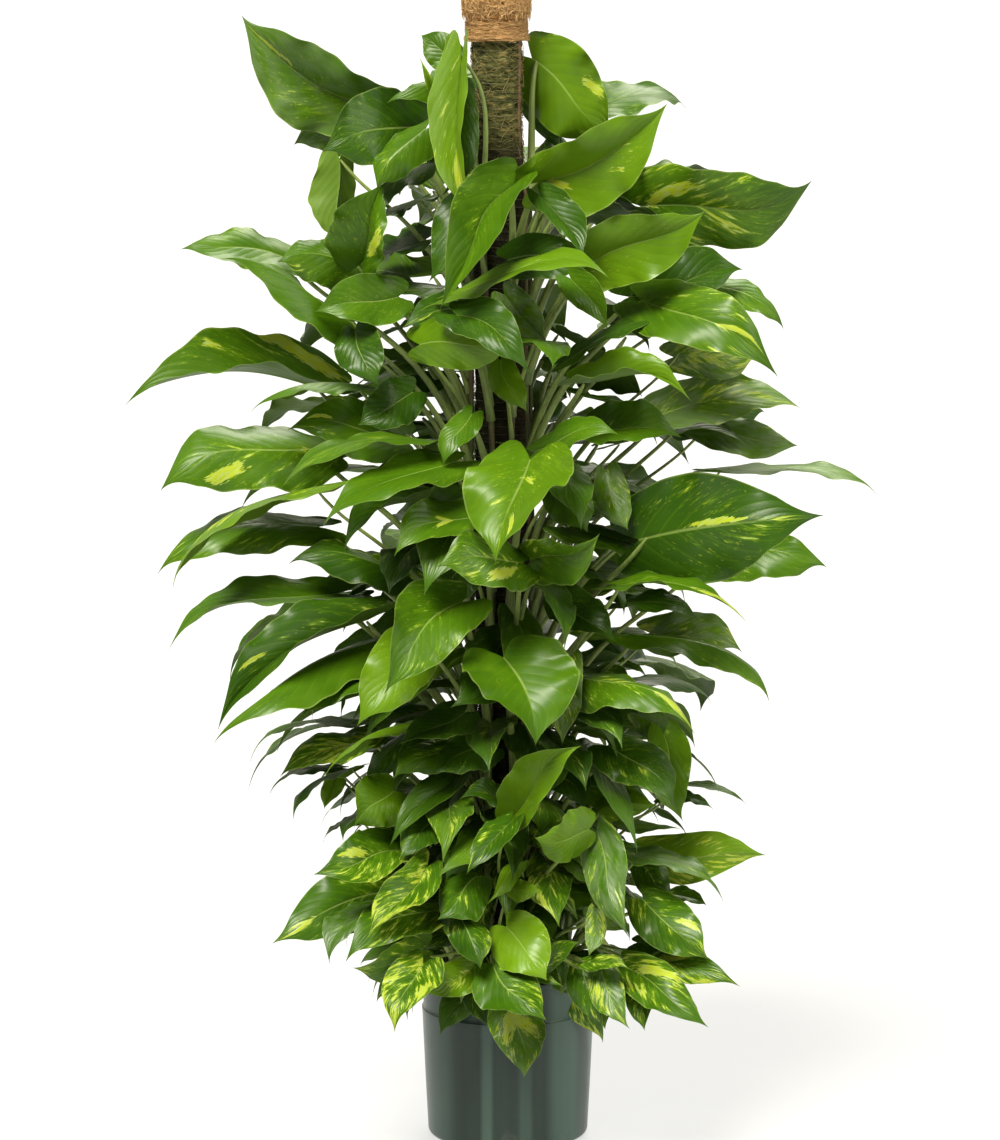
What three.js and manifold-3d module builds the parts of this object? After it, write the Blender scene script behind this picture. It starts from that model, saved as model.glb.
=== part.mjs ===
// A pothos climbing a moss pole, in its round nursery pot.
// Millimetres, +Z up. The origin is the middle of the pot's underside, and -Y faces the viewer.

import * as THREE from 'three';
import { mergeVertices } from 'three/addons/utils/BufferGeometryUtils.js';
import Module from 'manifold-3d';

const wasm = await Module();
wasm.setup();
const { Manifold, Mesh: SolidMesh } = wasm;
const { degToRad } = THREE.MathUtils;

// ---- Driving dimensions ----

const CLEARANCE = 0.3;

const POT = {
  height: 235,
  baseRadius: 111,
  shoulderRadius: 119.5,
  collarRadius: 117.3,
  rimRadius: 120,
  shoulderZ: 180,
  wall: 2.6,
  floor: 4,
  corner: 8,
  step: 3,
  flare: 0.6,
  lip: 7,
  lipUnder: 1.5,
  edge: 1.2,
};
const DRAIN = { count: 6, radius: 7, ring: 78, sides: 6 };
const SOIL = { edgeZ: 211, middleZ: 217, shoulder: [88, 213], crown: [50, 216] };

const LEAN = degToRad(0.584);
const STAKE = { radius: 16, foot: 22, top: 1588 };
const SLEEVE = { radius: 35.5, foot: 190, top: 1510, rows: 5, swells: [[0.9, 61], [0.7, 23]] };
const NECK = {
  radius: 36.5,
  flareRadius: 43,
  flare: 3,
  top: 1536,
  turns: 3,
  turnsFrom: 6,
  turnHeight: 1.6,
};
// The head's outline: insets from its radius, at heights over its foot and then under its top.
const HEAD = { radius: 45.5, top: 1602, low: [[6, 0], [1, 5], [0, 24]], high: [[1, 12], [6, 3], [16, 0]] };

const STEM_FOOT = 168;
const STEM_SIDES = 3;
const STEM_STEPS = { vine: 6, young: 3 };
const STEM_TAPER = 0.3;
const STEM_TIP = 4;
const LOWEST_NODE = SOIL.middleZ + 14;
const PETIOLE_SIDES = 3;
const PETIOLE_STEPS = 3;
const PETIOLE_RADIUS = { foot: 5.6, end: 2.6 };
const PETIOLE_RISE = { share: 1.1, least: 60, most: 280 };
// Its curve's handles, as shares of its length: up and out from the stem, and in to the blade.
const PETIOLE_START = { up: 0.55, out: 0.2 };
const PETIOLE_ARRIVAL = { up: 0.24, out: 0.18 };
const PETIOLE_REACH = 0.05;
const LONG_PETIOLE = 340;
const BLADE_SEAT = 2.4;
const SEAT_INSET = 0.6;
const SEAT_SPAN = 2.4;
const BLADE_THICKNESS = 1.0;
const LEAF_SIZE = { width: 90, least: 0.6, most: 1.15 };
const PHASE_STEP = 2.4;

// The eye that the leaf list below is sighted from.
const EYE = new THREE.Vector3(-11, -5800, 1624);

// ---- Stems ----
// Climbing vines hold to the pole: direction round it in degrees, top, stem radius.

const CLIMB_RADIUS = 44;
const WEAVE = { swing: 7, pitch: 150, apart: 1.9 };
const VINES = [
  [-72, 1330, 5.0],
  [-112, 1300, 5.0],
  [-30, 1330, 4.6],
  [-153, 1400, 4.6],
  [14, 1300, 4.4],
  [166, 1420, 4.4],
  [58, 1360, 4.6],
  [122, 1320, 4.6],
];

// Young stems stand round it in the soil: direction, foot and top distance from the pole, top, radius.
const YOUNG_STEMS = [
  [-62, 76, 104, 372, 3.4],
  [-104, 78, 96, 352, 3.4],
  [-146, 76, 112, 392, 3.4],
  [-18, 78, 118, 376, 3.4],
  [172, 78, 120, 384, 3.4],
  [32, 76, 104, 362, 3.2],
  [84, 76, 100, 372, 3.2],
  [133, 78, 104, 352, 3.2],
];
const YOUNG_LEAVES_BELOW = 430;
const STEM_REACH = 200;

// Blades in front of the pole lean to the viewer by this share of their sighted length, in full
// from this far in front, and those behind lean away.
const LEAN_OUT = 0.45;
const FRONT = 150;

// ---- Leaves that face the viewer ----
// Each leaf: where its base and its tip are sighted in the plane of the pole (x, z) and how far
// they stand in front of it; the blade's width; how far its upper face turns to the eye, in
// degrees (0 edge on, 90 full face, over 180 the underside); the fold along its midrib, in
// degrees; and the rise of its arched midrib, as a share of its length.

const TOP_LEAVES = [
  [-188, 1424, 0, -360, 1542, 40, 118, 117, 27, 0.02],
  [-200, 1400, 0, -290, 1372, 10, 70, 60, 0, 0.04],
  [-118, 1395, 60, -250, 1362, 110, 105, 80, 10, 0.05],
  [-228, 1352, 30, -212, 1234, 50, 72, 240, 15, 0.03],
  [-197, 1213, 95, -165, 1322, 90, 110, 58, 32, 0.05],
  [-112, 1392, 75, -178, 1312, 80, 60, 60, -20, 0.05],
  [-60, 1462, 40, -165, 1428, 70, 50, 40, -25, 0.06],
  [-70, 1480, -40, -118, 1518, -60, 50, 90, 10, 0],
  [-88, 1392, 95, -119, 1488, 90, 26, 90, 50, 0],
  [-62, 1440, 60, -92, 1300, 80, 60, 100, 20, 0.05],
  [-62, 1488, 70, -44, 1265, 95, 72, 115, 45, 0.03],
  [32, 1487, -30, 142, 1388, -20, 108, 90, 5, 0.04],
  [20, 1440, -60, 70, 1362, -60, 45, 90, 0, 0],
  [40, 1320, 90, 215, 1424, 110, 112, 112, 22, 0.03],
  [6, 1315, 62, -92, 1152, 150, 104, 76, 30, 0.08],
  [45, 1300, 110, 100, 1213, 140, 55, 60, 30, 0],
  [180, 1288, -20, 412, 1320, 0, 125, 115, 26, 0.03],
  [105, 1205, 90, 266, 1279, 110, 95, 108, 28, -0.04],
  [85, 1190, 150, 135, 1120, 170, 50, 90, 15, 0],
  [165, 1165, 20, 318, 1205, 10, 95, 55, 10, 0.05],
  [182, 1160, 70, 367, 1058, 120, 100, 75, 10, 0.2],
  [270, 1180, 0, 376, 1122, 10, 60, 50, 0, 0.1],
  [225, 1083, 30, 345, 1095, 50, 60, 80, 0, 0.05],
  [85, 1082, 60, 238, 1132, 80, 60, 15, 10, 0.05],
  [100, 1048, 120, 248, 1026, 150, 98, 52, 38, 0.1],
  [120, 985, 100, 236, 975, 110, 80, 60, 20, 0.15],
  [205, 1002, 60, 398, 1018, 40, 90, 40, 20, 0.03],
  [240, 1000, 0, 350, 1010, -20, 80, 60, 0, 0.1],
  [265, 985, 20, 396, 963, 20, 62, 70, 0, 0.08],
  [150, 965, 60, 330, 962, 40, 70, 20, 0, 0.05],
  [-290, 1212, 50, -443, 1233, 70, 90, 45, 0, 0.05],
  [-203, 1208, 80, -312, 1214, 95, 78, 60, -10, 0.05],
  [-205, 1125, 90, -385, 1222, 100, 80, 22, -17, 0.03],
  [-150, 1165, 70, -262, 1145, 90, 75, 80, 10, 0.05],
  [-208, 1120, 95, -178, 1045, 120, 66, 90, 0, 0.05],
  [-75, 1168, 150, 135, 1196, 190, 85, 28, 5, 0.03],
  [-35, 1150, 110, -143, 1125, 140, 60, 50, 0, 0.05],
  [-120, 1100, 120, 15, 1112, 160, 70, 80, 0, 0.05],
  [-70, 1140, 125, 30, 1060, 150, 70, 70, 20, 0.1],
  [-5, 1168, 100, 52, 1105, 120, 55, 90, 0, 0.05],
];

const MIDDLE_LEAVES = [
  [-255, 1040, 30, -523, 1024, 50, 112, 28, 30, 0.06],
  [-205, 1046, 80, -352, 1012, 110, 70, 20, -15, 0.08],
  [-262, 958, 60, -475, 904, 90, 115, 55, 5, 0.08],
  [-150, 975, 70, -300, 985, 70, 80, 70, 0, 0.08],
  [-95, 968, 130, -312, 910, 170, 80, 15, -20, 0.08],
  [-262, 905, 90, -464, 770, 120, 70, 15, -25, 0.08],
  [-262, 850, 50, -482, 790, 60, 90, 35, 5, 0.1],
  [-75, 938, 160, -256, 856, 200, 85, 30, 15, 0.05],
  [-35, 868, 180, -155, 812, 210, 70, 60, 10, 0.05],
  [30, 942, 215, -18, 803, 270, 160, 72, 12, 0.03],
  [40, 955, 170, 150, 978, 190, 60, 60, 0, 0.05],
  [290, 930, -30, 506, 900, -20, 70, 15, 0, 0.05],
  [180, 832, 150, 430, 866, 120, 150, 88, 4, 0.09],
  [262, 802, 40, 437, 798, 40, 84, 45, 0, 0.05],
  [150, 768, 120, 329, 722, 140, 90, 30, 0, 0.12],
  [150, 745, 80, 262, 722, 80, 60, 30, -10, 0.05],
  [195, 703, 40, 322, 677, 50, 62, 70, 20, 0.08],
  [135, 925, 120, 165, 845, 130, 50, 90, 0, 0],
  [-150, 790, 60, -300, 803, 80, 80, 25, -15, 0.08],
  [-240, 757, 60, -468, 685, 80, 85, 35, 0, 0.1],
  [-192, 722, 90, -402, 572, 130, 126, 50, 40, 0.03],
  [-185, 690, 120, -408, 557, 150, 100, 30, -15, 0.05],
  [-150, 655, 130, -287, 587, 150, 60, 15, 0, 0.05],
  [-212, 582, 80, -358, 523, 100, 60, 25, -10, 0.1],
  [-190, 560, 110, -315, 505, 130, 65, 50, 0, 0.08],
  [-115, 700, 170, -207, 575, 200, 85, 85, 0, 0.08],
  [-62, 745, 200, -170, 620, 230, 105, 75, 15, 0.08],
  [-120, 580, 130, -255, 506, 150, 60, 20, -10, 0.08],
  [20, 800, 220, -95, 797, 250, 90, 60, 10, 0.05],
  [35, 805, 200, 125, 840, 220, 80, 110, 20, 0.05],
  [-6, 668, 215, 38, 548, 250, 150, 80, 5, 0.05],
  [82, 662, 190, 75, 548, 200, 55, 90, 10, 0.03],
  [105, 640, 150, 258, 565, 170, 95, 45, 0, 0.15],
  [175, 700, 60, 362, 613, 70, 80, 25, -20, 0.08],
  [215, 560, 90, 242, 440, 110, 62, 90, 0, 0.08],
  [180, 590, 60, 238, 548, 70, 45, 80, 0, 0],
  [140, 545, 140, 228, 462, 150, 80, 75, 10, 0.05],
];

const LOWER_LEAVES = [
  [-235, 515, 60, -330, 480, 80, 40, 15, 0, 0.1],
  [-215, 515, 100, -298, 443, 120, 50, 10, -15, 0.12],
  [-238, 510, 80, -254, 457, 90, 35, 90, 20, 0],
  [-158, 482, 150, -212, 432, 170, 80, 90, -5, 0.05],
  [-200, 440, 60, -257, 409, 70, 30, 20, 0, 0.12],
  [-148, 398, 150, -268, 367, 180, 84, 59, 31, 0.05],
  [-172, 340, 130, -326, 266, 150, 86, 95, 5, 0.05],
  [-180, 318, 160, -250, 240, 180, 60, 20, 15, 0.1],
  [-113, 374, 190, -193, 281, 210, 62, 80, 10, 0.05],
  [-98, 312, 150, -225, 243, 180, 80, 60, 0, 0.08],
  [-42, 362, 180, -98, 301, 205, 75, 80, -5, 0.05],
  [-118, 258, 190, -214, 232, 215, 60, 100, 10, 0.05],
  [-118, 238, 200, -157, 141, 225, 72, 90, 0, 0.05],
  [-48, 234, 170, -120, 195, 190, 52, 85, 5, 0],
  [-72, 312, 190, -38, 231, 215, 56, 80, -20, 0.05],
  [-20, 236, 230, 54, 157, 255, 88, 88, 5, 0.03],
  [4, 184, 165, 22, 75, 175, 74, 90, 0, 0.03],
  [-2, 290, 200, 54, 214, 225, 80, 90, 0, 0.05],
  [8, 243, 190, 78, 207, 215, 34, 50, 10, 0],
  [50, 234, 170, 99, 269, 185, 30, 90, 0, 0],
  [18, 382, 170, -28, 323, 195, 36, 80, -30, 0.1],
  [0, 348, 180, 48, 341, 200, 32, 90, 0, 0.05],
  [122, 311, 180, 112, 249, 195, 30, 90, 10, 0],
  [118, 318, 120, 165, 285, 130, 45, 90, 0, 0],
  [122, 425, 180, 168, 278, 215, 62, 80, -15, 0.05],
  [112, 428, 140, 38, 416, 165, 72, 105, 15, 0.05],
  [198, 395, 60, 356, 392, 80, 72, 85, 0, 0.03],
  [180, 392, 110, 300, 329, 130, 62, 30, -10, 0.1],
  [212, 335, 40, 276, 322, 50, 32, 20, 10, 0],
  [185, 378, 90, 232, 322, 100, 50, 90, 0, 0.05],
  [188, 328, 130, 279, 244, 150, 76, 85, 0, 0.05],
  [180, 268, 120, 252, 250, 140, 42, 60, 0, 0.08],
  [200, 250, 150, 322, 208, 170, 52, 60, 5, 0.05],
  [166, 232, 180, 278, 149, 205, 72, 80, 0, 0.05],
  [172, 222, 190, 190, 143, 200, 42, 90, 0, 0.03],
  [128, 234, 200, 169, 146, 215, 50, 90, 0, 0.03],
  [104, 232, 170, 135, 145, 180, 58, 90, 0, 0.03],
  [110, 240, 210, 168, 230, 225, 26, 80, 0, 0],
  [225, 490, 20, 330, 466, 30, 30, 10, 0, 0.03],
  [215, 472, 40, 284, 457, 50, 32, 30, 0, 0.08],
  [128, 456, 110, 206, 461, 130, 42, 80, -10, 0.05],
  [150, 440, 60, 238, 430, 70, 26, 60, 0, 0],
  [8, 448, 190, 98, 545, 215, 72, 65, 25, 0.03],
  [5, 440, 175, -58, 366, 200, 52, 60, 10, 0.05],
  [5, 462, 160, -66, 471, 185, 48, 60, 20, 0.05],
];

// Inner leaves, which close the view in to the pole.
const INNER_LEAVES = [
  [0, 1215, 50, 122, 1212, 80, 66, 85, 0, 0.05],
  [-55, 1295, 45, -108, 1185, 70, 66, 90, 0, 0.05],
  [-10, 1078, 100, 26, 1008, 120, 44, 90, 0, 0.03],
  [-130, 1035, 60, -205, 990, 90, 66, 75, 0, 0.05],
  [-150, 1000, 40, -212, 952, 70, 60, 80, 0, 0.05],
  [-50, 1005, 60, -88, 935, 90, 42, 90, 0, 0.05],
  [62, 905, 120, 108, 843, 150, 60, 90, 0, 0.05],
  [-50, 800, 100, -110, 745, 130, 70, 80, 0, 0.05],
  [70, 750, 110, 148, 692, 140, 66, 70, 0, 0.05],
  [-60, 592, 150, -152, 548, 175, 64, 70, 5, 0.08],
  [-85, 542, 120, -158, 500, 150, 50, 60, 0, 0.05],
  [-25, 545, 120, -100, 505, 150, 60, 60, 0, 0.05],
  [55, 520, 100, 105, 455, 130, 60, 80, 0, 0.05],
  [-100, 440, 110, -150, 385, 140, 60, 80, 0, 0.05],
  [-40, 420, 130, -85, 360, 160, 60, 80, 0, 0.05],
];

// ---- Leaves placed by rule ----
// Bands of leaves up the plant: how many, the sector they spread over in degrees, lowest and
// highest base, and the base distance, tip distance, tip drop and width at the lowest and highest.

const BANDS = [
  {
    count: 10, from: 12, to: 168, z: [250, 430],
    base: [120, 150], tip: [220, 270], drop: [70, 60], width: [60, 66],
  },
  {
    count: 11, from: 8, to: 172, z: [450, 820],
    base: [160, 220], tip: [300, 400], drop: [80, 90], width: [78, 98],
  },
  {
    count: 11, from: 8, to: 172, z: [850, 1180],
    base: [210, 200], tip: [400, 380], drop: [70, 60], width: [104, 108],
  },
  {
    count: 7, from: 20, to: 160, z: [1220, 1440],
    base: [180, 130], tip: [340, 290], drop: [30, -30], width: [100, 96],
  },
];
// How far they vary: directions, folds and turns in degrees, the others as shares.
const VARIES = {
  spot: [0, 0.06],
  height: [-12, 12],
  base: [0.85, 1.15],
  tip: [0.9, 1.1],
  drop: [0.4, 1.6],
  yaw: [-12, 12],
  roll: [-0.35, 0.35],
  width: [0.85, 1.15],
  fold: [-8, 22],
  arch: [0.03, 0.12],
};
const FACING_OUT = 0.35;
const GOLDEN_ANGLE = 0.381966;
const RULE_SEED = 20417;

// Steps tried, in this order, until a leaf is clear of what is already placed.
const SHIFTS = [0, 12, -12, 24, -24, 38, -38, 54, -54, 72, -72, 92, -92];
const TURN_PER_SHIFT = 0.25;
const ROUTES = [[1, 0], [0.6, 0], [1.5, 0], [1, 26], [1, -26], [2, 0], [1.5, 30], [1.5, -30]];
const AIR = 0.8;

// ---- Solids ----

// A closed mesh here is a list of points and a list of triangles that index them.

function outward({ positions, triangles }) {
  let volume = 0;
  for (const [a, b, c] of triangles) {
    volume += positions[a].dot(positions[b].clone().cross(positions[c]));
  }
  return { positions, triangles: volume < 0 ? triangles.map(([a, b, c]) => [a, c, b]) : triangles };
}

function solidFrom({ positions, triangles }) {
  return new Manifold(new SolidMesh({
    numProp: 3,
    vertProperties: new Float32Array(positions.flatMap((p) => p.toArray())),
    triVerts: new Uint32Array(triangles.flat()),
  }));
}

function solidOf(geometry) {
  const bare = geometry.clone();
  bare.deleteAttribute('normal');
  bare.deleteAttribute('uv');
  const merged = mergeVertices(bare, 1e-3);
  const place = merged.attributes.position;
  const pointAt = (_, i) => new THREE.Vector3().fromBufferAttribute(place, i);
  const positions = Array.from({ length: place.count }, pointAt);
  const triangles = [];
  for (let i = 0; i < merged.index.count; i += 3) {
    const [a, b, c] = merged.index.array.subarray(i, i + 3);
    if (a !== b && b !== c && c !== a) triangles.push([a, b, c]);
  }
  return solidFrom(outward({ positions, triangles }));
}

// A turned solid: its profile is a closed run of [radius, height] points.
function turned(profile, segments) {
  const closed = [...profile, profile[0]].map(([r, z]) => new THREE.Vector2(r, z));
  return new THREE.LatheGeometry(closed, segments).rotateX(Math.PI / 2);
}

function geometryOf(solid) {
  const { vertProperties, triVerts } = solid.getMesh();
  const geometry = new THREE.BufferGeometry();
  geometry.setAttribute('position', new THREE.BufferAttribute(new Float32Array(vertProperties), 3));
  geometry.setIndex(new THREE.BufferAttribute(new Uint32Array(triVerts), 1));
  return geometry;
}

const plant = new THREE.Group();

// A loose scrap of a boolean join is dropped: the piece is its largest body.
function addPiece(name, solid, color, roughness) {
  const [whole] = solid.decompose().sort((a, b) => b.volume() - a.volume());
  const material = new THREE.MeshStandardMaterial({ color, roughness, metalness: 0 });
  const mesh = new THREE.Mesh(geometryOf(whole), material);
  mesh.name = name;
  plant.add(mesh);
}

// ---- Pot and soil ----

const POT_SEGMENTS = 24;

function potOuterRadius(z) {
  const share = Math.min(z / POT.shoulderZ, 1);
  return POT.baseRadius + (POT.shoulderRadius - POT.baseRadius) * share;
}

function pot() {
  const { height, baseRadius, collarRadius, rimRadius, shoulderZ, wall, floor, corner } = POT;
  const { step, flare, lip, lipUnder, edge } = POT;
  const bevel = corner * (1 - Math.SQRT1_2);
  const innerFoot = potOuterRadius(floor + corner) - wall;
  const profile = [
    [0, 0],
    [baseRadius - corner, 0],
    [baseRadius - bevel, bevel],
    [potOuterRadius(corner), corner],
    [potOuterRadius(shoulderZ), shoulderZ],
    [collarRadius, shoulderZ + step],
    [collarRadius + flare, height - lip],
    [rimRadius, height - lip + lipUnder],
    [rimRadius, height - edge],
    [rimRadius - edge, height],
    [collarRadius - wall, height],
    [collarRadius - wall, shoulderZ + step],
    [innerFoot, floor + corner],
    [innerFoot - corner, floor],
    [0, floor],
  ];
  const shell = solidOf(turned(profile, POT_SEGMENTS));
  const drains = Array.from({ length: DRAIN.count }, (_, i) => {
    const angle = (i + 0.5) / DRAIN.count * 2 * Math.PI;
    const hole = new THREE.CylinderGeometry(DRAIN.radius, DRAIN.radius, 3 * floor, DRAIN.sides);
    hole.rotateX(Math.PI / 2);
    hole.translate(DRAIN.ring * Math.cos(angle), DRAIN.ring * Math.sin(angle), floor / 2);
    return solidOf(hole);
  });
  return shell.subtract(Manifold.union(drains));
}

function soil() {
  const { collarRadius, shoulderZ, wall, floor, corner, step } = POT;
  const innerFoot = potOuterRadius(floor + corner) - wall - CLEARANCE;
  const edge = collarRadius - wall - CLEARANCE;
  const profile = [
    [0, floor + CLEARANCE],
    [innerFoot - corner, floor + CLEARANCE],
    [innerFoot, floor + corner + CLEARANCE],
    [edge, shoulderZ + step],
    [edge, SOIL.edgeZ],
    SOIL.shoulder,
    SOIL.crown,
    [0, SOIL.middleZ],
  ];
  return solidOf(turned(profile, POT_SEGMENTS));
}

// ---- Moss pole ----

const POLE_SEGMENTS = 14;
const leaned = (geometry) => geometry.rotateY(-LEAN);
const poleX = (z) => -Math.tan(LEAN) * z;

function stake(extra = 0) {
  const { radius, foot, top } = STAKE;
  const low = foot - extra;
  const profile = [[0, low], [radius + extra, low], [radius + extra, top], [0, top]];
  return solidOf(leaned(turned(profile, POLE_SEGMENTS)));
}

function sleeve(extra = 0) {
  const { radius, foot, top, rows, swells } = SLEEVE;
  const profile = [];
  for (let i = 0; i <= rows; i++) {
    const z = foot + (top - foot) * i / rows;
    const swell = swells.reduce((sum, [height, pitch]) => sum + height * Math.sin(z / pitch), 0);
    profile.push([radius + swell + extra, i === 0 ? z - extra : z]);
  }
  const bore = STAKE.radius + CLEARANCE;
  profile.push([bore, top], [bore, foot - extra]);
  return solidOf(leaned(turned(profile, POLE_SEGMENTS)));
}

function neckBinding() {
  const { radius, flareRadius, flare, top, turns, turnsFrom, turnHeight } = NECK;
  const foot = SLEEVE.top + CLEARANCE;
  const firstTurn = foot + turnsFrom;
  const pitch = (top - firstTurn) / turns;
  const profile = [[flareRadius, foot], [flareRadius - 1, foot + flare]];
  for (let i = 0; i < turns; i++) {
    const z = firstTurn + pitch * i;
    profile.push([radius, z], [radius + turnHeight, z + pitch / 2]);
  }
  const bore = STAKE.radius + CLEARANCE;
  profile.push([radius, top], [bore, top], [bore, foot]);
  return solidOf(leaned(turned(profile, POLE_SEGMENTS)));
}

function coirHead() {
  const foot = NECK.top + CLEARANCE;
  const { radius, top, low, high } = HEAD;
  const bore = STAKE.radius + CLEARANCE;
  const profile = [
    [bore, foot],
    ...low.map(([inset, z]) => [radius - inset, foot + z]),
    ...high.map(([inset, z]) => [radius - inset, top - z]),
    [0, top],
    [0, STAKE.top + CLEARANCE],
    [bore, STAKE.top + CLEARANCE],
  ];
  return solidOf(leaned(turned(profile, POLE_SEGMENTS)));
}

// ---- Stem, petiole and blade ----

// Bars are turned from this side.
const BAR_SIDE = new THREE.Vector3(0.31, 0.95, 0.05);

// A bar through the points, tapering along them.
function barMesh(points, radii, sides) {
  const positions = barRings(points, radii, sides).flat();
  const triangles = [];
  const last = (points.length - 1) * sides;
  for (let ring = 0; ring < last; ring += sides) {
    for (let i = 0; i < sides; i++) {
      const [a, b] = [ring + i, ring + (i + 1) % sides];
      triangles.push([a, b, b + sides], [a, b + sides, a + sides]);
    }
  }
  for (let i = 1; i < sides - 1; i++) {
    triangles.push([0, i + 1, i], [last, last + i, last + i + 1]);
  }
  return outward({ positions, triangles });
}

function barRings(points, radii, sides) {
  const normal = BAR_SIDE.clone();
  return points.map((point, k) => {
    const before = points[Math.max(k - 1, 0)];
    const after = points[Math.min(k + 1, points.length - 1)];
    const tangent = after.clone().sub(before).normalize();
    normal.addScaledVector(tangent, -normal.dot(tangent)).normalize();
    const across = tangent.clone().cross(normal);
    return Array.from({ length: sides }, (_, i) => {
      const turn = i / sides * 2 * Math.PI;
      return point.clone()
        .addScaledVector(normal, radii[k] * Math.cos(turn))
        .addScaledVector(across, radii[k] * Math.sin(turn));
    });
  });
}

// The middle of a stem at a height.
function climbingStem([direction, top, radius], index) {
  const middle = (z) => {
    const swing = WEAVE.swing * Math.sin(z / WEAVE.pitch + WEAVE.apart * index);
    const angle = degToRad(direction + swing);
    return new THREE.Vector3(
      poleX(z) + CLIMB_RADIUS * Math.cos(angle), CLIMB_RADIUS * Math.sin(angle), z);
  };
  const name = `climbing_vine_${index + 1}`;
  return { name, direction, top, radius, middle, steps: STEM_STEPS.vine };
}

function youngStem([direction, footReach, topReach, top, radius], index) {
  const angle = degToRad(direction);
  const middle = (z) => {
    const share = (z - STEM_FOOT) / (top - STEM_FOOT);
    const reach = footReach + (topReach - footReach) * share * share;
    return new THREE.Vector3(poleX(z) + reach * Math.cos(angle), reach * Math.sin(angle), z);
  };
  const name = `young_stem_${index + 1}`;
  return { name, direction, top, radius, middle, steps: STEM_STEPS.young };
}

function stemBar(stem, extra = 0) {
  const points = [];
  const radii = [];
  for (let i = 0; i <= stem.steps; i++) {
    const share = i / stem.steps;
    const z = STEM_FOOT - extra + (stem.top - STEM_FOOT + extra) * share;
    points.push(stem.middle(z));
    radii.push(stem.radius * (1 - STEM_TAPER * share) + extra);
  }
  return solidFrom(barMesh(points, radii, STEM_SIDES));
}

const BROADEST = 0.34;
const BASE_FALL = 0.36;
const FULLNESS = { middle: 2.4, swing: 0.5 };
const TAPER = 1.3;
const LOBE = { depth: 0.17, arc: 0.8 * Math.PI };
const MORE_ARCH = 0.05;
const ARCH_TO_TIP = { low: 0.6, more: 0.8 };
const SIDE_BEND = 0.07;
const SWAY = 0.035;
const FOLD_SWING = degToRad(13);
const TWIST = { angle: degToRad(42), from: 0.25 };
const EDGE_FALL = 0.06;
const EDGE_ROLL = { height: 0.3, apart: 2.2 };
const WAVE = { height: 0.12, count: 2.2, apart: 1.7 };

// No two blades are alike. Each trait swings by the blade's own phase: at what rate, from where.
const SWINGS = {
  fullness: [1.7, 0],
  fold: [2.1, 0],
  twist: [1.3, 0.5],
  bend: [0.9, 1],
  sway: [0.5, 0.6],
  roll: [0.7, 0],
};

function swing(leaf, trait, more = 0) {
  const [rate, start] = SWINGS[trait];
  return Math.sin(rate * leaf.phase + start + more);
}

// The half width of a blade along its midrib, from 0 at the petiole to 1 at its drip tip.
function spread(leaf, u) {
  if (u < BROADEST) return 1 - BASE_FALL * ((BROADEST - u) / BROADEST) ** 2;
  const run = (u - BROADEST) / (1 - BROADEST);
  const fullness = FULLNESS.middle + FULLNESS.swing * swing(leaf, 'fullness');
  return (1 - run ** fullness) ** TAPER;
}

// A point of the blade: u runs along the midrib, v across from -1 to 1.
function bladePoint(leaf, u, v) {
  const { base, along, across, normal, length, phase } = leaf;
  const side = Math.abs(v);
  const half = leaf.width / 2 * spread(leaf, u);
  const reach = u - LOBE.depth * (1 - u) ** 3 * Math.sin(LOBE.arc * side);
  const bow = 4 * length * reach * (1 - Math.max(reach, 0)) * (ARCH_TO_TIP.low + ARCH_TO_TIP.more * u);
  const bend = SIDE_BEND * swing(leaf, 'bend') * bow;
  const sway = SWAY * swing(leaf, 'sway') * length * Math.sin(2 * Math.PI * u);
  const fold = leaf.fold + FOLD_SWING * swing(leaf, 'fold');
  const wave = WAVE.height * Math.sin(2 * Math.PI * WAVE.count * u + phase + WAVE.apart * Math.sign(v));
  const roll = EDGE_ROLL.height * swing(leaf, 'roll', EDGE_ROLL.apart * Math.sign(v)) - EDGE_FALL;
  const out = half * Math.cos(fold) * v;
  const lift = half * (Math.sin(fold) * side + (wave + roll) * side * side);
  const twist = TWIST.angle * swing(leaf, 'twist') * Math.max(u - TWIST.from, 0);
  const rise = (leaf.arch + MORE_ARCH) * bow;
  return base.clone()
    .addScaledVector(along, length * reach)
    .addScaledVector(across, bend + sway + out * Math.cos(twist) - lift * Math.sin(twist))
    .addScaledVector(normal, rise + out * Math.sin(twist) + lift * Math.cos(twist));
}

// How a blade is cut into rows and columns, by its width.
const BLADE_CUTS = [
  { width: 112, rows: [0, 0.2, 0.5, 0.8], columns: [-1, -0.5, 0, 0.5, 1] },
  { width: 71, rows: [0, 0.3, 0.68], columns: [-1, 0, 1] },
  { width: 0, rows: [0, 0.5], columns: [-1, 0, 1] },
];

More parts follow.
